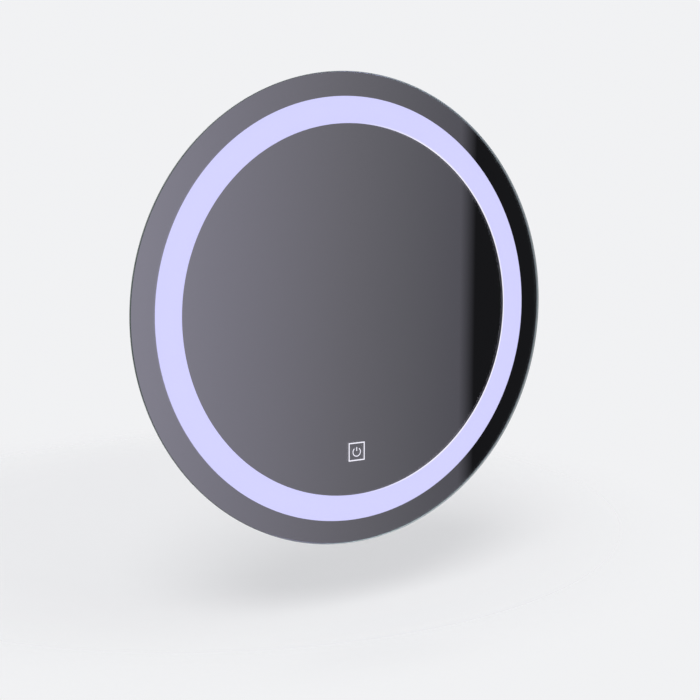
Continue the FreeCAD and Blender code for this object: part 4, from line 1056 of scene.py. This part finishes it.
def surroundings():
    """Pale to the camera, even light to matt surfaces, and something to reflect for glass and metal."""
    world = bpy.data.worlds.new("studio")
    bpy.context.scene.world = world
    paint = Paint(world)
    way = paint.node("ShaderNodeTexCoord", output="Generated")
    split = paint.node("ShaderNodeSeparateXYZ", {}, [way])
    across, depth, up = split, split.part("Y"), split.part("Z")

    azimuth = across.math("ARCTAN2", depth * -1.0)
    share = (azimuth + math.pi) * (0.5 / math.pi)
    stops = [((angle + 180) / 360, tone) for angle, tone in FRONT_TONES]
    front = paint.node("ShaderNodeValToRGB", {"stops": stops}, [share])
    shade = (paint.spread(azimuth, 0.0, 1.0, *map(math.radians, DARK_EDGE))
             * paint.spread(azimuth, 1.0, 0.0, *map(math.radians, DARK_FADE)))
    front = paint.blend(shade, front, DARK_TONE)
    lift = paint.spread(up, *FRONT_LIFT, -0.5, 0.5)
    front = paint.node("ShaderNodeVectorMath", {"operation": "SCALE"}, {"Vector": front, "Scale": lift})

    stops = [((height + 1) / 2, (tone,) * 3) for height, tone in BACK_HEIGHTS]
    back = paint.node("ShaderNodeValToRGB", {"stops": stops}, [up * 0.5 + 0.5])
    towards = paint.node("ShaderNodeVectorMath", {"operation": "DOT_PRODUCT"}, [way, tuple(PANEL)], "Value")
    back = paint.blend(paint.spread(towards, 0.0, 1.0, *PANEL_EDGE), back, PANEL_TONE)
    reflected = paint.blend(paint.spread(depth, 0.0, 1.0, 0.0, BACK_FADE), front, back)

    path = paint.node("ShaderNodeLightPath", output="Is Camera Ray")
    soft = paint.node("ShaderNodeBackground", {}, EVEN_LIGHT)
    seen = paint.node("ShaderNodeBackground", {}, [BACKGROUND, 1.0])
    shown = paint.node("ShaderNodeBackground", {}, [reflected, 1.0])
    bright = path.part("Is Glossy Ray").math("MAXIMUM", path.part("Is Transmission Ray"))
    lit = paint.node("ShaderNodeMixShader", {}, [bright, soft, shown])
    mixed = paint.node("ShaderNodeMixShader", {}, [path, lit, seen])
    paint.node("ShaderNodeOutputWorld", {}, [mixed])


def studio_light(name, heading, tilt, strength, width):
    """Soft light that no reflection shows."""
    light = bpy.data.lights.new(name, "SUN")
    light.energy = strength
    light.angle = math.radians(width)
    holder = bpy.data.objects.new(name, light)
    a, t = math.radians(heading), math.radians(tilt)
    source = Vector((math.sin(a) * math.cos(t), -math.cos(a) * math.cos(t), math.sin(t)))
    holder.rotation_euler = source.to_track_quat("Z", "Y").to_euler()
    holder.visible_glossy = False
    holder.visible_transmission = False
    bpy.context.collection.objects.link(holder)


def viewpoint():
    """Camera where the photograph was taken from."""
    view = bpy.data.cameras.new("viewpoint")
    view.sensor_width = SENSOR
    view.lens = FOCAL_PIXELS * SENSOR / IMAGE_WIDTH
    view.clip_start = 0.01
    camera = bpy.data.objects.new("viewpoint", view)
    x, y, z = CAMERA_PLACE
    camera.location = (x, y + GLASS_FRONT, z + CENTRE.z)
    camera.rotation_euler = (math.pi / 2 + CAMERA_TILT, 0, CAMERA_TURN)
    bpy.context.collection.objects.link(camera)
    bpy.context.scene.camera = camera


build_mirror()
floor()
surroundings()
for light in LIGHTS:
    studio_light(*light)
viewpoint()
bpy.context.scene.view_settings.view_transform = "Standard"
